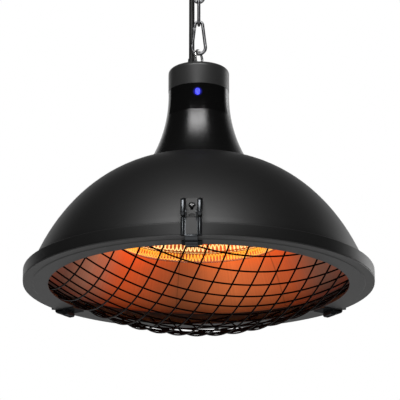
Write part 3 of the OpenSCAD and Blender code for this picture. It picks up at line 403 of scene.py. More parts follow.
def tube_rings(path, radius, sides):
    """A closed tube round a path, as a bmesh, with one radius or a list of them along the path."""
    bm = bmesh.new()
    rings = []
    for k, p in enumerate(path):
        a, b = path[max(k - 1, 0)], path[min(k + 1, len(path) - 1)]
        along = (Vector(b) - Vector(a)).normalized()
        side = along.orthogonal().normalized() if k == 0 else (side - along * side.dot(along)).normalized()
        other = along.cross(side)
        r = radius[k] if isinstance(radius, list) else radius
        rings.append([bm.verts.new(Vector(p) + r * (math.cos(t) * side + math.sin(t) * other))
                      for t in (2 * math.pi * i / sides for i in range(sides))])
    for p, q in zip(rings, rings[1:]):
        for i in range(sides):
            bm.faces.new((p[i], p[(i + 1) % sides], q[(i + 1) % sides], q[i]))
    bm.faces.new(list(reversed(rings[0])))
    bm.faces.new(rings[-1])
    return bm


class Geometry:
    """A Geometry Nodes tree with named inputs, run once and turned into a plain mesh."""

    def __init__(self, name, inputs):
        self.tree = bpy.data.node_groups.new(name, "GeometryNodeTree")
        self.tree.interface.new_socket("Spots", in_out="INPUT", socket_type="NodeSocketGeometry")
        self.sockets = {}
        for label, kind, value in inputs:
            s = self.tree.interface.new_socket(label, in_out="INPUT", socket_type="NodeSocket" + kind)
            if value is not None:
                s.default_value = value
            self.sockets[label] = s.identifier
        self.tree.interface.new_socket("Geometry", in_out="OUTPUT", socket_type="NodeSocketGeometry")
        self.given = self.tree.nodes.new("NodeGroupInput")
        self.out = self.tree.nodes.new("NodeGroupOutput")

    def value(self, label):
        return self.given.outputs[label]

    def node(self, kind, sockets=None, **values):
        return put(self.tree, kind, sockets, **values)

    def calc(self, operation, a, b=0.0):
        return maths(self.tree, operation, a, b)

    def vector(self, x=0.0, y=0.0, z=0.0):
        return self.node("ShaderNodeCombineXYZ", {0: x, 1: y, 2: z}).outputs[0]

    def here(self):
        """The x, y and z of each point."""
        position = self.node("GeometryNodeInputPosition").outputs[0]
        return self.node("ShaderNodeSeparateXYZ", {0: position}).outputs

    def moved(self, geometry, shift=(0, 0, 0), turn=(0, 0, 0)):
        sockets = {"Geometry": geometry, "Translation": shift, "Rotation": turn}
        return self.node("GeometryNodeTransform", sockets).outputs[0]

    def wire(self, curve, sides, caps=True):
        """A round wire of the tree's Wire thickness along a curve."""
        half = self.calc("MULTIPLY", self.value("Wire"), 0.5)
        ring = self.node("GeometryNodeCurvePrimitiveCircle", {"Resolution": sides, "Radius": half})
        return self.node("GeometryNodeCurveToMesh", {"Curve": curve, "Profile Curve": ring.outputs[0],
                                                     "Fill Caps": caps}).outputs[0]

    def finish(self, geometry):
        """Ends the tree in Realize Instances and Set Material."""
        real = self.node("GeometryNodeRealizeInstances", {0: geometry}).outputs[0]
        soft = self.node("GeometryNodeSetShadeSmooth", {"Geometry": real}).outputs[0]
        dressed = self.node("GeometryNodeSetMaterial", {"Geometry": soft, "Material": self.value("Finish")})
        self.tree.links.new(dressed.outputs[0], self.out.inputs[0])

    def build(self, name, values, material, sharp=None, spots=()):
        """Runs the tree. Spots are (place, axis) pairs that it can read as points with an attribute."""
        points = bpy.data.meshes.new(name + "_start")
        points.from_pydata([at for at, _ in spots], [], [])
        axes = points.attributes.new("axis", "FLOAT_VECTOR", "POINT")
        axes.data.foreach_set("vector", [c for _, axis in spots for c in axis])
        start = add_object(name + "_start", points)
        mod = start.modifiers.new("shape", "NODES")
        mod.node_group = self.tree
        for label, v in {**values, "Finish": material}.items():
            mod[self.sockets[label]] = v
        graph = bpy.context.evaluated_depsgraph_get()
        mesh = bpy.data.meshes.new_from_object(start.evaluated_get(graph))
        bpy.data.objects.remove(start)
        mesh.name = name
        if sharp:
            mesh.set_sharp_from_angle(angle=math.radians(sharp))
        return add_object(name, mesh)


def place(piece, body, *replaced):
    """Puts a piece on its body, in place of the CAD nodes that it stands for."""
    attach(piece, body)
    if replaced:
        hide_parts(*replaced)
    return piece


# Supply cable

CABLE_D = 0.007
CABLE_SIDES, CABLE_STEP = 32, 0.0025
# From the ceiling plate down to the cap, in millimetres
CABLE_ROUTE = [(-9.5, 13, 0), (-9.5, 13, -11), (-9.5, 13, -22), (-9.4, 13, -33), (-9.4, 13, -43),
               (-9.4, 13, -54), (-9.3, 13, -65), (-9.3, 13, -76), (-9.3, 13, -87),
               (-9.3, 13, -98), (-9.3, 13, -109), (-9.4, 13, -120), (-9.4, 13, -130),
               (-9.4, 13, -141), (-9.5, 13, -152), (-9.5, 13, -163), (-9.5, 13, -173)]
# Each length's node, its first and last point, the bodies above and below, and the heights of its two ends
CABLE_PARTS = [("supply_cable_top", 0, 4, "ceiling", "link_upper", -0.004, -0.043),
               ("supply_cable_upper", 4, 8, "link_upper", "link_lower", -0.043, -0.087),
               ("supply_cable_lower", 8, 12, "link_lower", "carabiner", -0.087, -0.130),
               ("supply_cable_bottom", 12, 16, "carabiner", "heater", -0.130, -0.152)]


def along_route(points, step):
    """Points at an even step along a route given in millimetres."""
    out = []
    for a, b in zip(points, points[1:]):
        a, b = Vector(a) * MM, Vector(b) * MM
        count = max(1, round((b - a).length / step))
        out += [a.lerp(b, i / count) for i in range(count)]
    return out + [Vector(points[-1]) * MM]


def make_cables():
    """The cable in four lengths, each a tube along its stretch of the route, in place of its CAD node."""
    for node, first, last, above, below, start, end in CABLE_PARTS:
        path = along_route(CABLE_ROUTE[first:last + 1], CABLE_STEP)
        piece = from_bmesh(node + "_flex", tube_rings(path, CABLE_D / 2, CABLE_SIDES), cable_rubber)
        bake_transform(piece)
        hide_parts(node)
        path.reverse()


make_cables()

# Wire guard

GUARD_WIRE, GUARD_PITCH, GUARD_COUNT = 0.0020, 0.0234, 15
GUARD_R, GUARD_END_R = 0.182, 0.1896      # the ring's opening and how far the wires reach under the ring
GUARD_FOOT = GUARD_WIRE / 2 + 0.0009      # height of the wires' middle at the opening, above the rim
GUARD_DEPTH = 0.052      # from the rim down to the lowest wire
GUARD_TURN = 21      # degrees
LAYER_GAP = 0.0001
GUARD_POINTS, GUARD_SIDES = 64, 12      # along each wire and round it


def wire_layer_tree():
    """Parallel round wires, each bent to lie on one ball in its own upright plane."""
    g = Geometry("bowed_wires", [("Wire", "Float", 0.0018), ("Pitch", "Float", 0.0234), ("Count", "Int", 15),
                                 ("Ball radius", "Float", 0.34), ("Ball height", "Float", 0.29),
                                 ("End radius", "Float", 0.19), ("Turn", "Float", 0.0),
                                 ("Finish", "Material", None)])

    def square(v):
        return g.calc("MULTIPLY", v, v)

    half_count = g.calc("MULTIPLY", g.calc("SUBTRACT", g.value("Count"), 1.0), -0.5)
    first = g.calc("MULTIPLY", half_count, g.value("Pitch"))
    line = g.node("GeometryNodeMeshLine", {"Count": g.value("Count"), "Start Location": g.vector(first),
                                           "Offset": g.vector(g.value("Pitch"))},
                  mode="OFFSET", count_mode="TOTAL")
    one = g.node("GeometryNodeCurvePrimitiveLine", {"Start": (0, -1, 0), "End": (0, 1, 0)})
    many = g.node("GeometryNodeResampleCurve", {"Curve": one.outputs[0], "Count": GUARD_POINTS})
    copies = g.node("GeometryNodeInstanceOnPoints", {"Points": line.outputs[0], "Instance": many.outputs[0]})
    real = g.node("GeometryNodeRealizeInstances", {0: copies.outputs[0]})
    x, part, _ = g.here()
    reach = g.calc("SQRT", g.calc("SUBTRACT", square(g.value("End radius")), square(x)))
    y = g.calc("MULTIPLY", part, reach)
    below = g.calc("SUBTRACT", g.calc("SUBTRACT", square(g.value("Ball radius")), square(x)), square(y))
    z = g.calc("SUBTRACT", g.value("Ball height"), g.calc("SQRT", below))
    bent = g.node("GeometryNodeSetPosition", {"Geometry": real.outputs[0], "Position": g.vector(x, y, z)})
    wires = g.wire(bent.outputs[0], GUARD_SIDES)
    g.finish(g.moved(wires, turn=g.vector(z=g.value("Turn"))))
    return g


def make_guard():
    """Two crossed layers on two balls, the inner one a wire's thickness smaller."""
    sag = GUARD_DEPTH + GUARD_FOOT
    ball = (GUARD_R ** 2 + sag ** 2) / (2 * sag)
    height = RIM + math.sqrt(ball ** 2 - GUARD_R ** 2) + GUARD_FOOT
    tree = wire_layer_tree()
    for name, turn, radius in (("guard_wires_outer", GUARD_TURN, ball),
                               ("guard_wires_inner", GUARD_TURN + 90, ball - GUARD_WIRE - LAYER_GAP)):
        o = tree.build(name + "_bowed", {"Wire": GUARD_WIRE, "Pitch": GUARD_PITCH, "Count": GUARD_COUNT,
                                         "Ball radius": radius, "Ball height": height,
                                         "End radius": GUARD_END_R, "Turn": math.radians(turn)}, wire_paint_lamp_tinted)
        place(o, "heater", name)


make_guard()

# Lamp

LAMP_R = 0.102
LAMP_GAP = math.radians(8)      # from the front to each end of the ring
LOWER_COIL_Z, UPPER_COIL_Z = RIM + 0.064, RIM + 0.0766
LOWER_TURNS, UPPER_TURNS = 150.0, 120.0
COIL_R, COIL_WIRE = 0.0040, 0.0013
COIL_POINTS, COIL_SIDES = 12.0, 6      # along each turn and round the wire


def coil_tree():
    """A fine wire wound round a ring."""
    g = Geometry("wound_coil", [("Ring radius", "Float", 0.102), ("Coil radius", "Float", 0.0044),
                                ("Turns", "Float", 200.0), ("Wire", "Float", 0.001), ("First", "Float", 0.0),
                                ("Sweep", "Float", 6.0), ("Height", "Float", 0.0),
                                ("Finish", "Material", None)])
    one = g.node("GeometryNodeCurvePrimitiveLine", {"Start": (0, 0, 0), "End": (1, 0, 0)})
    count = g.calc("MULTIPLY", g.value("Turns"), COIL_POINTS)
    many = g.node("GeometryNodeResampleCurve", {"Curve": one.outputs[0], "Count": count})
    part = g.here()[0]
    around = g.calc("ADD", g.calc("MULTIPLY", part, g.value("Sweep")), g.value("First"))
    wind = g.calc("MULTIPLY", g.calc("MULTIPLY", part, g.value("Turns")), 2 * math.pi)
    out = g.calc("MULTIPLY", g.value("Coil radius"), g.calc("COSINE", wind))
    up = g.calc("MULTIPLY", g.value("Coil radius"), g.calc("SINE", wind))
    r, z = g.calc("ADD", g.value("Ring radius"), out), g.calc("ADD", g.value("Height"), up)
    spot = g.vector(g.calc("MULTIPLY", r, g.calc("COSINE", around)),
                    g.calc("MULTIPLY", r, g.calc("SINE", around)), z)
    bent = g.node("GeometryNodeSetPosition", {"Geometry": many.outputs[0], "Position": spot})
    g.finish(g.wire(bent.outputs[0], COIL_SIDES))
    return g


def make_lamp():
    """Winds the two coils and returns the upper one, which carries the lamp's lights."""
    tree = coil_tree()
    for name, height, turns, finish in (("filament_lower", LOWER_COIL_Z, LOWER_TURNS, tungsten),
                                        ("filament_upper", UPPER_COIL_Z, UPPER_TURNS, hot_tungsten)):
        coil = tree.build(name + "_wound", {"Ring radius": LAMP_R, "Coil radius": COIL_R, "Turns": turns,
                                            "Wire": COIL_WIRE, "First": -math.pi / 2 + LAMP_GAP,
                                            "Sweep": 2 * math.pi - 2 * LAMP_GAP, "Height": height}, finish)
        place(coil, "heater", name)
        coil.visible_diffuse = False
    nodes["lamp_tube"].visible_shadow = False
    return coil


lamp_coil = make_lamp()

# Chain

CHAIN_WIRE = 0.0036
LINK_LENGTH, LINK_WIDTH = 0.0305, 0.0086      # of the link's opening
UPPER_LINK_TOP, LOWER_LINK_TOP = -0.0497, -0.0799      # heights of the openings' tops
LINK_BEND_POINTS, LINK_SIDES = 16, 20
JUST_UNDER_HALF = 0.4999      # of the width, as the corners' radius, for half-round ends


def link_tree():
    """A round wire bent to a long link, upright below its top."""
    g = Geometry("chain_link", [("Length", "Float", 0.03), ("Width", "Float", 0.01),
                                ("Wire", "Float", 0.0036), ("Top", "Float", 0.0), ("Turn", "Float", 0.0),
                                ("Finish", "Material", None)])
    wide = g.calc("ADD", g.value("Width"), g.value("Wire"))
    tall = g.calc("ADD", g.value("Length"), g.value("Wire"))
    box = g.node("GeometryNodeCurvePrimitiveQuadrilateral", {"Width": wide, "Height": tall})
    bend = g.calc("MULTIPLY", wide, JUST_UNDER_HALF)
    rounded = g.node("GeometryNodeFilletCurve", {"Curve": box.outputs[0], "Radius": bend,
                                                 "Count": LINK_BEND_POINTS}, mode="POLY")
    upright = g.moved(g.wire(rounded.outputs[0], LINK_SIDES, caps=False), turn=(math.pi / 2, 0, 0))
    middle = g.calc("SUBTRACT", g.value("Top"), g.calc("MULTIPLY", g.value("Length"), 0.5))
    g.finish(g.moved(upright, g.vector(z=middle), g.vector(z=g.value("Turn"))))
    return g


def make_chain():
    tree = link_tree()
    for name, body, top, turn in (("chain_link_upper", "link_upper", UPPER_LINK_TOP, 0),
                                  ("chain_link_lower", "link_lower", LOWER_LINK_TOP, math.pi / 2)):
        o = tree.build(name + "_bent", {"Length": LINK_LENGTH, "Width": LINK_WIDTH, "Wire": CHAIN_WIRE,
                                        "Top": top, "Turn": turn}, chain_steel)
        place(o, body, name)


make_chain()

# Screws and latches


def on_heater(turn, spot):
    """Millimetres from the middle of the rim, turned about the heater's axis, to metres in the root frame."""
    turned = Matrix.Rotation(math.radians(turn), 3, "Z") @ Vector(spot)
    return turned * MM + Vector((0, 0, RIM))


HEAD_POINTS, SHANK_POINTS = 28, 20
HEAD_DOME = 0.86      # how far up a quarter circle the head's side follows it
SLOT_REACH = 1.15      # length of the recess's bars over the head's radius
SHANK_OVERLAP = 0.0003      # how far the shank reaches into the head


def screw_tree():
    """Pan-head screws with a cross recess, one on each spot, pointing along its axis."""
    g = Geometry("cross_screws", [("Head radius", "Float", 0.004), ("Head height", "Float", 0.002),
                                  ("Shank radius", "Float", 0.002), ("Shank length", "Float", 0.006),
                                  ("Slot width", "Float", 0.001), ("Slot depth", "Float", 0.0012),
                                  ("Finish", "Material", None)])
    head, shank_length = g.value("Head height"), g.value("Shank length")
    disc = g.node("GeometryNodeMeshCylinder", {"Vertices": HEAD_POINTS, "Side Segments": 6,
                                               "Fill Segments": 5, "Radius": g.value("Head radius"),
                                               "Depth": head})
    lifted = g.moved(disc.outputs[0], g.vector(z=g.calc("MULTIPLY", head, 0.5)))
    x, y, z = g.here()
    rise = g.calc("MULTIPLY", g.calc("DIVIDE", z, head), HEAD_DOME)
    pull = g.calc("SQRT", g.calc("SUBTRACT", 1.0, g.calc("POWER", rise, 2.0)))
    spot = g.vector(g.calc("MULTIPLY", x, pull), g.calc("MULTIPLY", y, pull), z)
    domed = g.node("GeometryNodeSetPosition", {"Geometry": lifted, "Position": spot})
    cut = g.node("GeometryNodeMeshBoolean", {"Mesh 1": domed.outputs[0]}, operation="DIFFERENCE")
    long = g.calc("MULTIPLY", g.value("Head radius"), SLOT_REACH)
    deep = g.calc("MULTIPLY", g.value("Slot depth"), 2.0)
    for across, along in ((long, g.value("Slot width")), (g.value("Slot width"), long)):
        bar = g.node("GeometryNodeMeshCube", {"Size": g.vector(across, along, deep)})
        g.tree.links.new(g.moved(bar.outputs[0], g.vector(z=head)), cut.inputs["Mesh 2"])
    shank = g.node("GeometryNodeMeshCylinder", {"Vertices": SHANK_POINTS, "Radius": g.value("Shank radius"),
                                                "Depth": shank_length})
    drop = g.calc("MULTIPLY", g.calc("SUBTRACT", shank_length, SHANK_OVERLAP), -0.5)
    both = g.node("GeometryNodeJoinGeometry")
    for piece in (cut.outputs[0], g.moved(shank.outputs[0], g.vector(z=drop))):
        g.tree.links.new(piece, both.inputs[0])
    axis = g.node("GeometryNodeInputNamedAttribute", {"Name": "axis"}, data_type="FLOAT_VECTOR")
    turn = g.node("FunctionNodeAlignRotationToVector", {"Vector": axis.outputs[0]}, axis="Z")
    copies = g.node("GeometryNodeInstanceOnPoints", {"Points": g.value("Spots"), "Instance": both.outputs[0],
                                                     "Rotation": turn.outputs[0]})
    g.finish(copies.outputs[0])
    return g


# The latches' sizes are in millimetres. A base's middle is its screw, and its plate leans back on the dome.
LATCH_TURNS = (0, 127, 237.5)      # degrees round from the front
BASE_MIDDLE = Vector((0, -192.222, 41.0))
BASE_TILT = math.radians(26.3018)
BASE_UP = Vector((0, math.sin(BASE_TILT), math.cos(BASE_TILT)))
BASE_OUT = Vector((0, -math.cos(BASE_TILT), math.sin(BASE_TILT)))
BASE_THICK = 2.0
PIN = (-216.6, 26.6)      # the front latch's pin as (y, z)
EAR_R, EAR_NEAR, EAR_FAR = 4.98, 7.0, 12.0      # the ear's front and its two faces beside the middle
EYE_R, EYE_NEAR, EYE_FAR = 3.4, 5.4, 6.6      # the same for the lever's eye
RAIL_R, RAIL_SIDE, RAIL_Y = 2.35, 9.6, -215.4      # the lever's rail and its middle's x and y
BACK_Y, BACK_THICK = -213.0, 1.8      # the lever's back plate


def latch_seat(turn, side=0.0, along=0.0, out=0.0):
    """A place on a latch base, given across it, up along it and out from it, with the outward axis."""
    spot = BASE_MIDDLE + Vector((side, 0, 0)) + BASE_UP * along + BASE_OUT * out
    return on_heater(turn, spot), Matrix.Rotation(math.radians(turn), 3, "Z") @ BASE_OUT


SCREW_SIZES = ("Head radius", "Head height", "Shank radius", "Shank length", "Slot width", "Slot depth")
NECK_SCREW = (42, 0, 133.351)      # where the first one's head sits, before its turn
PLATE_SCREW = (27, 0, 260.5)


def make_screws():
    tree = screw_tree()
    down, up = Vector((0, 0, -1)), Vector((0, 0, 1))
    kinds = [("latch_screws", (4.1, 2.2, 2.0, 6.8, 1.25, 1.3), black_screw,
              [latch_seat(turn, out=BASE_THICK) for turn in LATCH_TURNS]),
             ("neck_screws", (4.0, 2.6, 2.0, 32.2, 1.2, 1.5), zinc,
              [(on_heater(turn, NECK_SCREW), down) for turn in (30, 150, 270)]),
             ("plate_screws", (3.0, 2.0, 1.5, 9.4, 0.9, 1.1), zinc,
              [(on_heater(turn, PLATE_SCREW), up) for turn in (30, 180, 300)])]
    for name, sizes, finish, spots in kinds:
        values = {label: size * MM for label, size in zip(SCREW_SIZES, sizes)}
        place(tree.build(name + "_crossed", values, finish, 30, spots), "heater", name)


def latch_side(along, out):
    """A place on the front latch base's own axes, as (y, z) in millimetres on the heater."""
    return (BASE_UP * along + BASE_OUT * out + BASE_MIDDLE).yz


def arc(centre, r, first, last, steps):
    """Points on an arc between two angles in degrees."""
    turns = [math.radians(first + (last - first) * k / steps) for k in range(steps + 1)]
    return [(centre[0] + r * math.cos(t), centre[1] + r * math.sin(t)) for t in turns]


def slab(bm, outline, low, high, soft, where=None, steps=3, upright=False):
    """A plate of an outline: a side view (y, z) between two x, or a plan (x, y) between two heights.

    The edges round its two faces, or those that the test named where picks, are rounded by soft."""
    rings = [[bm.verts.new((a, b, c) if upright else (c, a, b)) for a, b in outline] for c in (low, high)]
    count = len(outline)
    bm.faces.new(rings[0])
    bm.faces.new(list(reversed(rings[1])))
    for i in range(count):
        j = (i + 1) % count
        bm.faces.new((rings[0][i], rings[1][i], rings[1][j], rings[0][j]))
    rim = [bm.edges.get((ring[i], ring[(i + 1) % count])) for ring in rings for i in range(count)]
    rim = [e for e in rim if where is None or where((e.verts[0].co + e.verts[1].co) / 2)]
    bmesh.ops.bevel(bm, geom=rim, offset=soft, offset_type="OFFSET", segments=steps, profile=0.5,
                    affect="EDGES", clamp_overlap=False)


def latch_base(bm):
    """A base plate with a tapered keyhole for its screw."""
    half, corner = 11.8, 2.5
    x, top, foot = half - corner, 10.5 - corner, -18.0 + corner
    outer = []
    for centre, first in (((x, top), 0), ((-x, top), 90), ((-x, foot), 180), ((x, foot), 270)):
        outer += arc(centre, corner, first, first + 90, 5)
    keyhole = arc((0, 0), 2.3, -30, 210, 14) + arc((0, -8.2), 1.6, 200, 340, 8)
    edges = []
    for outline in (outer, keyhole):
        ring = [bm.verts.new((x, y, 0)) for x, y in outline]
        edges += [bm.edges.new((a, b)) for a, b in zip(ring, ring[1:] + ring[:1])]
    face = bmesh.ops.triangle_fill(bm, use_beauty=True, use_dissolve=False, edges=edges)["geom"]
    face = [f for f in face if isinstance(f, bmesh.types.BMFace)]
    raised = bmesh.ops.extrude_face_region(bm, geom=face)["geom"]
    raised = [v for v in raised if isinstance(v, bmesh.types.BMVert)]
    bmesh.ops.translate(bm, vec=(0, 0, BASE_THICK), verts=raised)
    for v in bm.verts:
        v.co = (v.co.x, *latch_side(v.co.y, v.co.z))


def both_sides(near, far):
    """The same stretch left and right of the middle, each as (low, high)."""
    return (-far, -near), (near, far)


def latch_ears(bm):
    """Two deep ears with half-round fronts, from the base plate out to the pins."""
    root = [latch_side(along, out) for along, out in ((-9.5, 0.5), (10.3, 0.5), (10.3, 3.4))]
    ear = arc(PIN, EAR_R, 166, 315, 12) + root + [(-215.6, 42.7), (-217.2, 41.9), (-218.0, 40.4)]

    def proud(m):
        """Whether a place is more than a millimetre off the plate."""
        return BASE_OUT.dot(m - BASE_MIDDLE) > BASE_THICK + 1

    for low, high in both_sides(EAR_NEAR, EAR_FAR):
        slab(bm, ear, low, high, 2.3, where=proud, steps=5)


def latch_lever(bm):
    """A back plate with two half-round rails, two eyes on the pins and a foot that hooks under the ring."""
    low_z, back_top, front_y = 0.3, 20.6, BACK_Y - BACK_THICK
    back = [(BACK_Y, low_z), (BACK_Y, back_top), (front_y, back_top), (front_y, low_z)]
    slab(bm, back, -11.6, 11.6, 0.4)
    eye = arc(PIN, EYE_R, -20, 200, 12) + [(-216.4, 17), (-213.2, 17)]
    for (low, high), middle in zip(both_sides(EYE_NEAR, EYE_FAR), (-RAIL_SIDE, RAIL_SIDE)):
        slab(bm, eye, low, high, 0.3)
        rail = arc((middle, RAIL_Y), RAIL_R, 180, 360, 12)
        rail += [(middle + RAIL_R, BACK_Y - 0.2), (middle - RAIL_R, BACK_Y - 0.2)]
        slab(bm, rail, low_z, 20.8, 0.5, upright=True)
    foot = [(-214.8, 1.0), (-214.9, -0.8), (-214.2, -2.7), (-212.5, -4.1), (-210, -4.6), (-203.4, -4.7),
            (-202.7, -5.5), (-202.4, -8.2), (-201.6, -8.9), (-196, -8.9), (-194.8, -8.2), (-194.6, -7),
            (-194.6, -2.9), (-195, -2.7), (-211.4, -2.7), (-212.7, -1.9), (-213, -0.6), (-213, 1.0)]
    slab(bm, foot, -7.3, 7.3, 0.8)


def rivets(bm):
    """Two short pins, one through each ear and the lever's eye beside it."""
    lengthwise, radii = (5.0, 5.2, 12.0, 12.02, 12.35, 12.5), [1.3, 1.5, 1.5, 2.4, 2.3, 1.6]
    for side in (-1, 1):
        part = tube_rings([(side * x, *PIN) for x in lengthwise], radii, 20)
        mesh = bpy.data.meshes.new("rivet")
        part.to_mesh(mesh)
        part.free()
        bm.from_mesh(mesh)
        bpy.data.meshes.remove(mesh)


def latch_piece(name, make, turns, body, material, *replaced):
    """Makes one shape in millimetres on the front latch and copies it to each turn."""
    one = bmesh.new()
    make(one)
    mesh = bpy.data.meshes.new(name + "_one")
    one.to_mesh(mesh)
    one.free()
    bm = bmesh.new()
    for turn in turns:
        copy = mesh.copy()
        turned = Matrix.Rotation(math.radians(turn), 4, "Z") @ Matrix.Scale(MM, 4)
        copy.transform(Matrix.Translation((0, 0, RIM)) @ turned)
        bm.from_mesh(copy)
        bpy.data.meshes.remove(copy)
    bpy.data.meshes.remove(mesh)
    place(from_bmesh(name, bm, material, 35), body, *replaced)


def make_latches():
    latch_piece("latch_bases_pressed", latch_base, LATCH_TURNS, "heater", base_paint, "latch_bases")
    latch_piece("latch_ears_bent", latch_ears, LATCH_TURNS, "heater", latch_paint)
    latch_piece("latch_pins_riveted", rivets, LATCH_TURNS, "heater", black_screw, "latch_pins")
    for side, turn in zip(("front", "right", "left"), LATCH_TURNS):
        lever = "latch_lever_" + side
        latch_piece(lever + "_bent", latch_lever, (turn,), "latch_" + side, latch_paint, lever)


BEAD_HALF, BEAD_TALL, BEAD_RISE = 3.8, 3.3, 0.7
BEAD_FOOT = -16.2      # below the base's screw


def make_latch_beads():
    """A small raised half round below each latch base's screw."""
    steps, levels = 16, 6
    bm = bmesh.new()
    for turn in LATCH_TURNS:
        rings = []
        for k in range(levels + 1):
            rise = math.pi / 2 * k / levels
            half, tall = BEAD_HALF * math.cos(rise), BEAD_TALL * math.cos(rise)
            out = BEAD_RISE * math.sin(rise) + BASE_THICK
            ring = []
            for i in range(steps + 1):
                t = math.pi * i / steps
                spot, _ = latch_seat(turn, half * math.cos(t), tall * math.sin(t) + BEAD_FOOT, out)
                ring.append(bm.verts.new(spot))
            rings.append(ring)
        for p, q in zip(rings, rings[1:]):
            for i in range(steps):
                bm.faces.new((p[i], p[i + 1], q[i + 1], q[i]))
        bm.faces.new(rings[0])
        bm.faces.new([r[0] for r in rings] + [r[-1] for r in reversed(rings[:-1])])
    bmesh.ops.remove_doubles(bm, verts=bm.verts, dist=0.000001)
    place(from_bmesh("latch_beads", bm, base_paint), "heater")


make_latches()
make_screws()
make_latch_beads()

# CAD solids that stay

WELD = 0.000005      # metres between points that become one
SMOOTH_BELOW, BEVEL_ABOVE = math.radians(32), math.radians(38)


def soft_shade_tree():
    """Welds a CAD solid's loose triangles and shades it smooth up to an angle."""
    tree = bpy.data.node_groups.new("weld_and_smooth", "GeometryNodeTree")
    tree.interface.new_socket("Geometry", in_out="INPUT", socket_type="NodeSocketGeometry")
    limit = tree.interface.new_socket("Sharp above", in_out="INPUT", socket_type="NodeSocketFloat")
    limit.default_value = SMOOTH_BELOW
    tree.interface.new_socket("Geometry", in_out="OUTPUT", socket_type="NodeSocketGeometry")
    given, out = tree.nodes.new("NodeGroupInput"), tree.nodes.new("NodeGroupOutput")
    weld = put(tree, "GeometryNodeMergeByDistance", {"Geometry": given.outputs[0], "Distance": WELD})
    soft = put(tree, "GeometryNodeSetShadeSmooth", {"Geometry": weld.outputs[0]})
    angle = put(tree, "GeometryNodeInputMeshEdgeAngle").outputs["Unsigned Angle"]
    above = maths(tree, "GREATER_THAN", angle, given.outputs[1])
    sharp = put(tree, "GeometryNodeSetShadeSmooth",
                {"Geometry": soft.outputs[0], "Selection": above, "Shade Smooth": False}, domain="EDGE")
    tree.links.new(sharp.outputs[0], out.inputs[0])
    return tree


soft_shade = soft_shade_tree()
# Rounding of the edges in millimetres
BEVELLED = {"latch_cover_front": 1.0, "latch_cover_right": 1.0, "latch_cover_left": 1.0,
            "ceiling_plate": 0.3, "hook_nut": 0.3, "power_relay": 0.4, "terminal_block": 0.4}

FINISHES = {
    dome_paint: ["outer_dome"],
    ring_paint: ["guard_ring"],
    cap_paint: ["top_cap"],
    neck_paint: ["neck_housing"],
    latch_paint: ["strike_plates"],
    latch_plate: ["latch_cover_front", "latch_cover_right", "latch_cover_left"],
    plate_paint: ["ceiling_plate"],
    zinc: ["ceiling_hook", "hook_nut", "eye_spacer", "eye_nut", "load_plate", "chassis",
           "shield_spacers", "reflector_spacers", "cap_posts"],
    carabiner_steel: ["carabiner_body", "carabiner_gate", "gate_pin"],
    eye_steel: ["hanging_eye"],
    spring_steel: ["lamp_clips"],
    shield_aluminium: ["heat_shield"],
    rubber: ["cable_grommet", "strain_relief"],
    cable_rubber: ["inner_cable"],
    ceramic: ["terminal_block", "board_standoffs", "lamp_end_caps"],
    relay_case: ["power_relay"],
    receiver_black: ["signal_receiver"],
    cutout_black: ["thermal_cutout"],
    board_green: ["control_board"],
    sleeve: ["lamp_leads"],
    reflector_painted_glow: ["reflector"],
    quartz: ["lamp_tube"],
    smoked: ["control_window"],
    blue_lens: ["light_lens"],
}


def dress(o, material, soft_edge):
    """Gives a CAD solid its material, soft shading and, where it has them, rounded edges."""
    if o.data.materials:
        for k in range(len(o.data.materials)):
            o.data.materials[k] = material
    else:
        o.data.materials.append(material)
    o.modifiers.new("weld_and_smooth", "NODES").node_group = soft_shade
    if soft_edge:
        edge = o.modifiers.new("edge", "BEVEL")
        edge.width, edge.segments, edge.harden_normals = soft_edge * MM, 2, True
        edge.limit_method, edge.angle_limit = "ANGLE", BEVEL_ABOVE


def dress_solids():
    for material, names in FINISHES.items():
        for name in names:
            dress(nodes[name], material, BEVELLED.get(name))


dress_solids()

# Stage and light

FLOOR_HALF, FLOOR_Z = 9, -2.3


def make_floor():
    bm = bmesh.new()
    for x, y in ((-1, -1), (1, -1), (1, 1), (-1, 1)):
        bm.verts.new((x * FLOOR_HALF, y * FLOOR_HALF, FLOOR_Z))
    bm.faces.new(bm.verts)
    m, tree, bsdf = principled("pale_floor", {"Roughness": 0.8, "Emission Color": (1, 1, 1, 1),
                                              "Emission Strength": 0.30})
    cloud = noise(tree, object_place(tree), 3, 3)
    feed(tree, bsdf.inputs["Base Color"], mix_colour(tree, cloud, grey(0.80), grey(0.76)))
    from_bmesh("floor", bm, m)


def soft_step(tree, value, start, end, low=0.0, high=1.0):
    sockets = {"Value": value, "From Min": start, "From Max": end, "To Min": low, "To Max": high}
    return put(tree, "ShaderNodeMapRange", sockets, interpolation_type="SMOOTHSTEP").outputs[0]


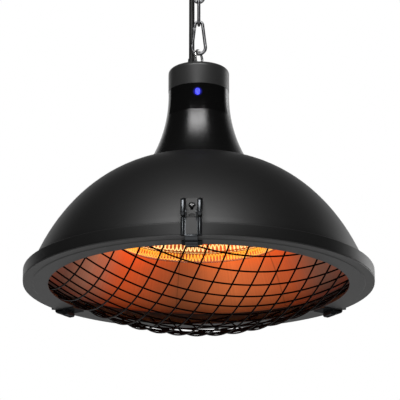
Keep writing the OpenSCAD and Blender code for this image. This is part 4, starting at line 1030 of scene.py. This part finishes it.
def make_studio():
    """A white surround to the camera. To the piece it is bright behind the heater and dim elsewhere."""
    scene.world = bpy.data.worlds.new("studio")
    scene.world.use_nodes = True
    tree = scene.world.node_tree
    tree.nodes.clear()
    x, y, z = put(tree, "ShaderNodeSeparateXYZ",
                  {0: put(tree, "ShaderNodeTexCoord").outputs["Generated"]}).outputs
    behind = soft_step(tree, maths(tree, "ADD", y, maths(tree, "MULTIPLY", x, 0.16)), 0.48, 0.68)
    low = soft_step(tree, z, 0.36, 0.70, 1.0, 0.12)
    glare = maths(tree, "MULTIPLY", maths(tree, "MULTIPLY", behind, low), 0.9)
    white = (1, 1, 1, 1)
    fill = put(tree, "ShaderNodeBackground", {0: white, 1: maths(tree, "ADD", glare, 0.02)})
    seen = put(tree, "ShaderNodeBackground", {0: white, 1: 1.0})
    to_camera = put(tree, "ShaderNodeLightPath").outputs["Is Camera Ray"]
    mix = put(tree, "ShaderNodeMixShader", {0: to_camera, 1: fill.outputs[0], 2: seen.outputs[0]})
    put(tree, "ShaderNodeOutputWorld", {"Surface": mix.outputs[0]})


def softbox(name, at, aim, wide, tall, watts):
    data = bpy.data.lights.new(name, "AREA")
    data.shape, data.size, data.size_y, data.energy = "RECTANGLE", wide, tall, watts
    o = add_object(name, data)
    o.location = at
    o.rotation_euler = (Vector(aim) - Vector(at)).to_track_quat("-Z", "Y").to_euler()


def make_lights():
    softbox("front_softbox", (-0.08, -1.48, 1.42), (0, 0, -0.3), 1.8, 0.55, 37)
    softbox("low_softbox", (-0.25, -2.6, 0.25), (0, 0, -0.3), 0.7, 0.3, 12)
    softbox("right_strip", (1.7, 2.0, 0.1), (0, 0, RIM + 0.12), 0.6, 1.6, 8)


def make_lamp_glow(count=18):
    """Small red lights along the lower coil, which light the reflector and go along with the lamp."""
    for k in range(count):
        turn = 2 * math.pi * (k + 0.5) / count
        data = bpy.data.lights.new("lamp_glow", "POINT")
        data.energy, data.color, data.shadow_soft_size = 0.02, (1.0, 0.22, 0.04), 0.006
        o = add_object("lamp_glow", data)
        o.location = (LAMP_R * math.cos(turn), LAMP_R * math.sin(turn), LOWER_COIL_Z)
        o.visible_camera = o.visible_transmission = o.visible_glossy = False
        o.parent = lamp_coil


make_floor()
make_studio()
make_lights()
make_lamp_glow()
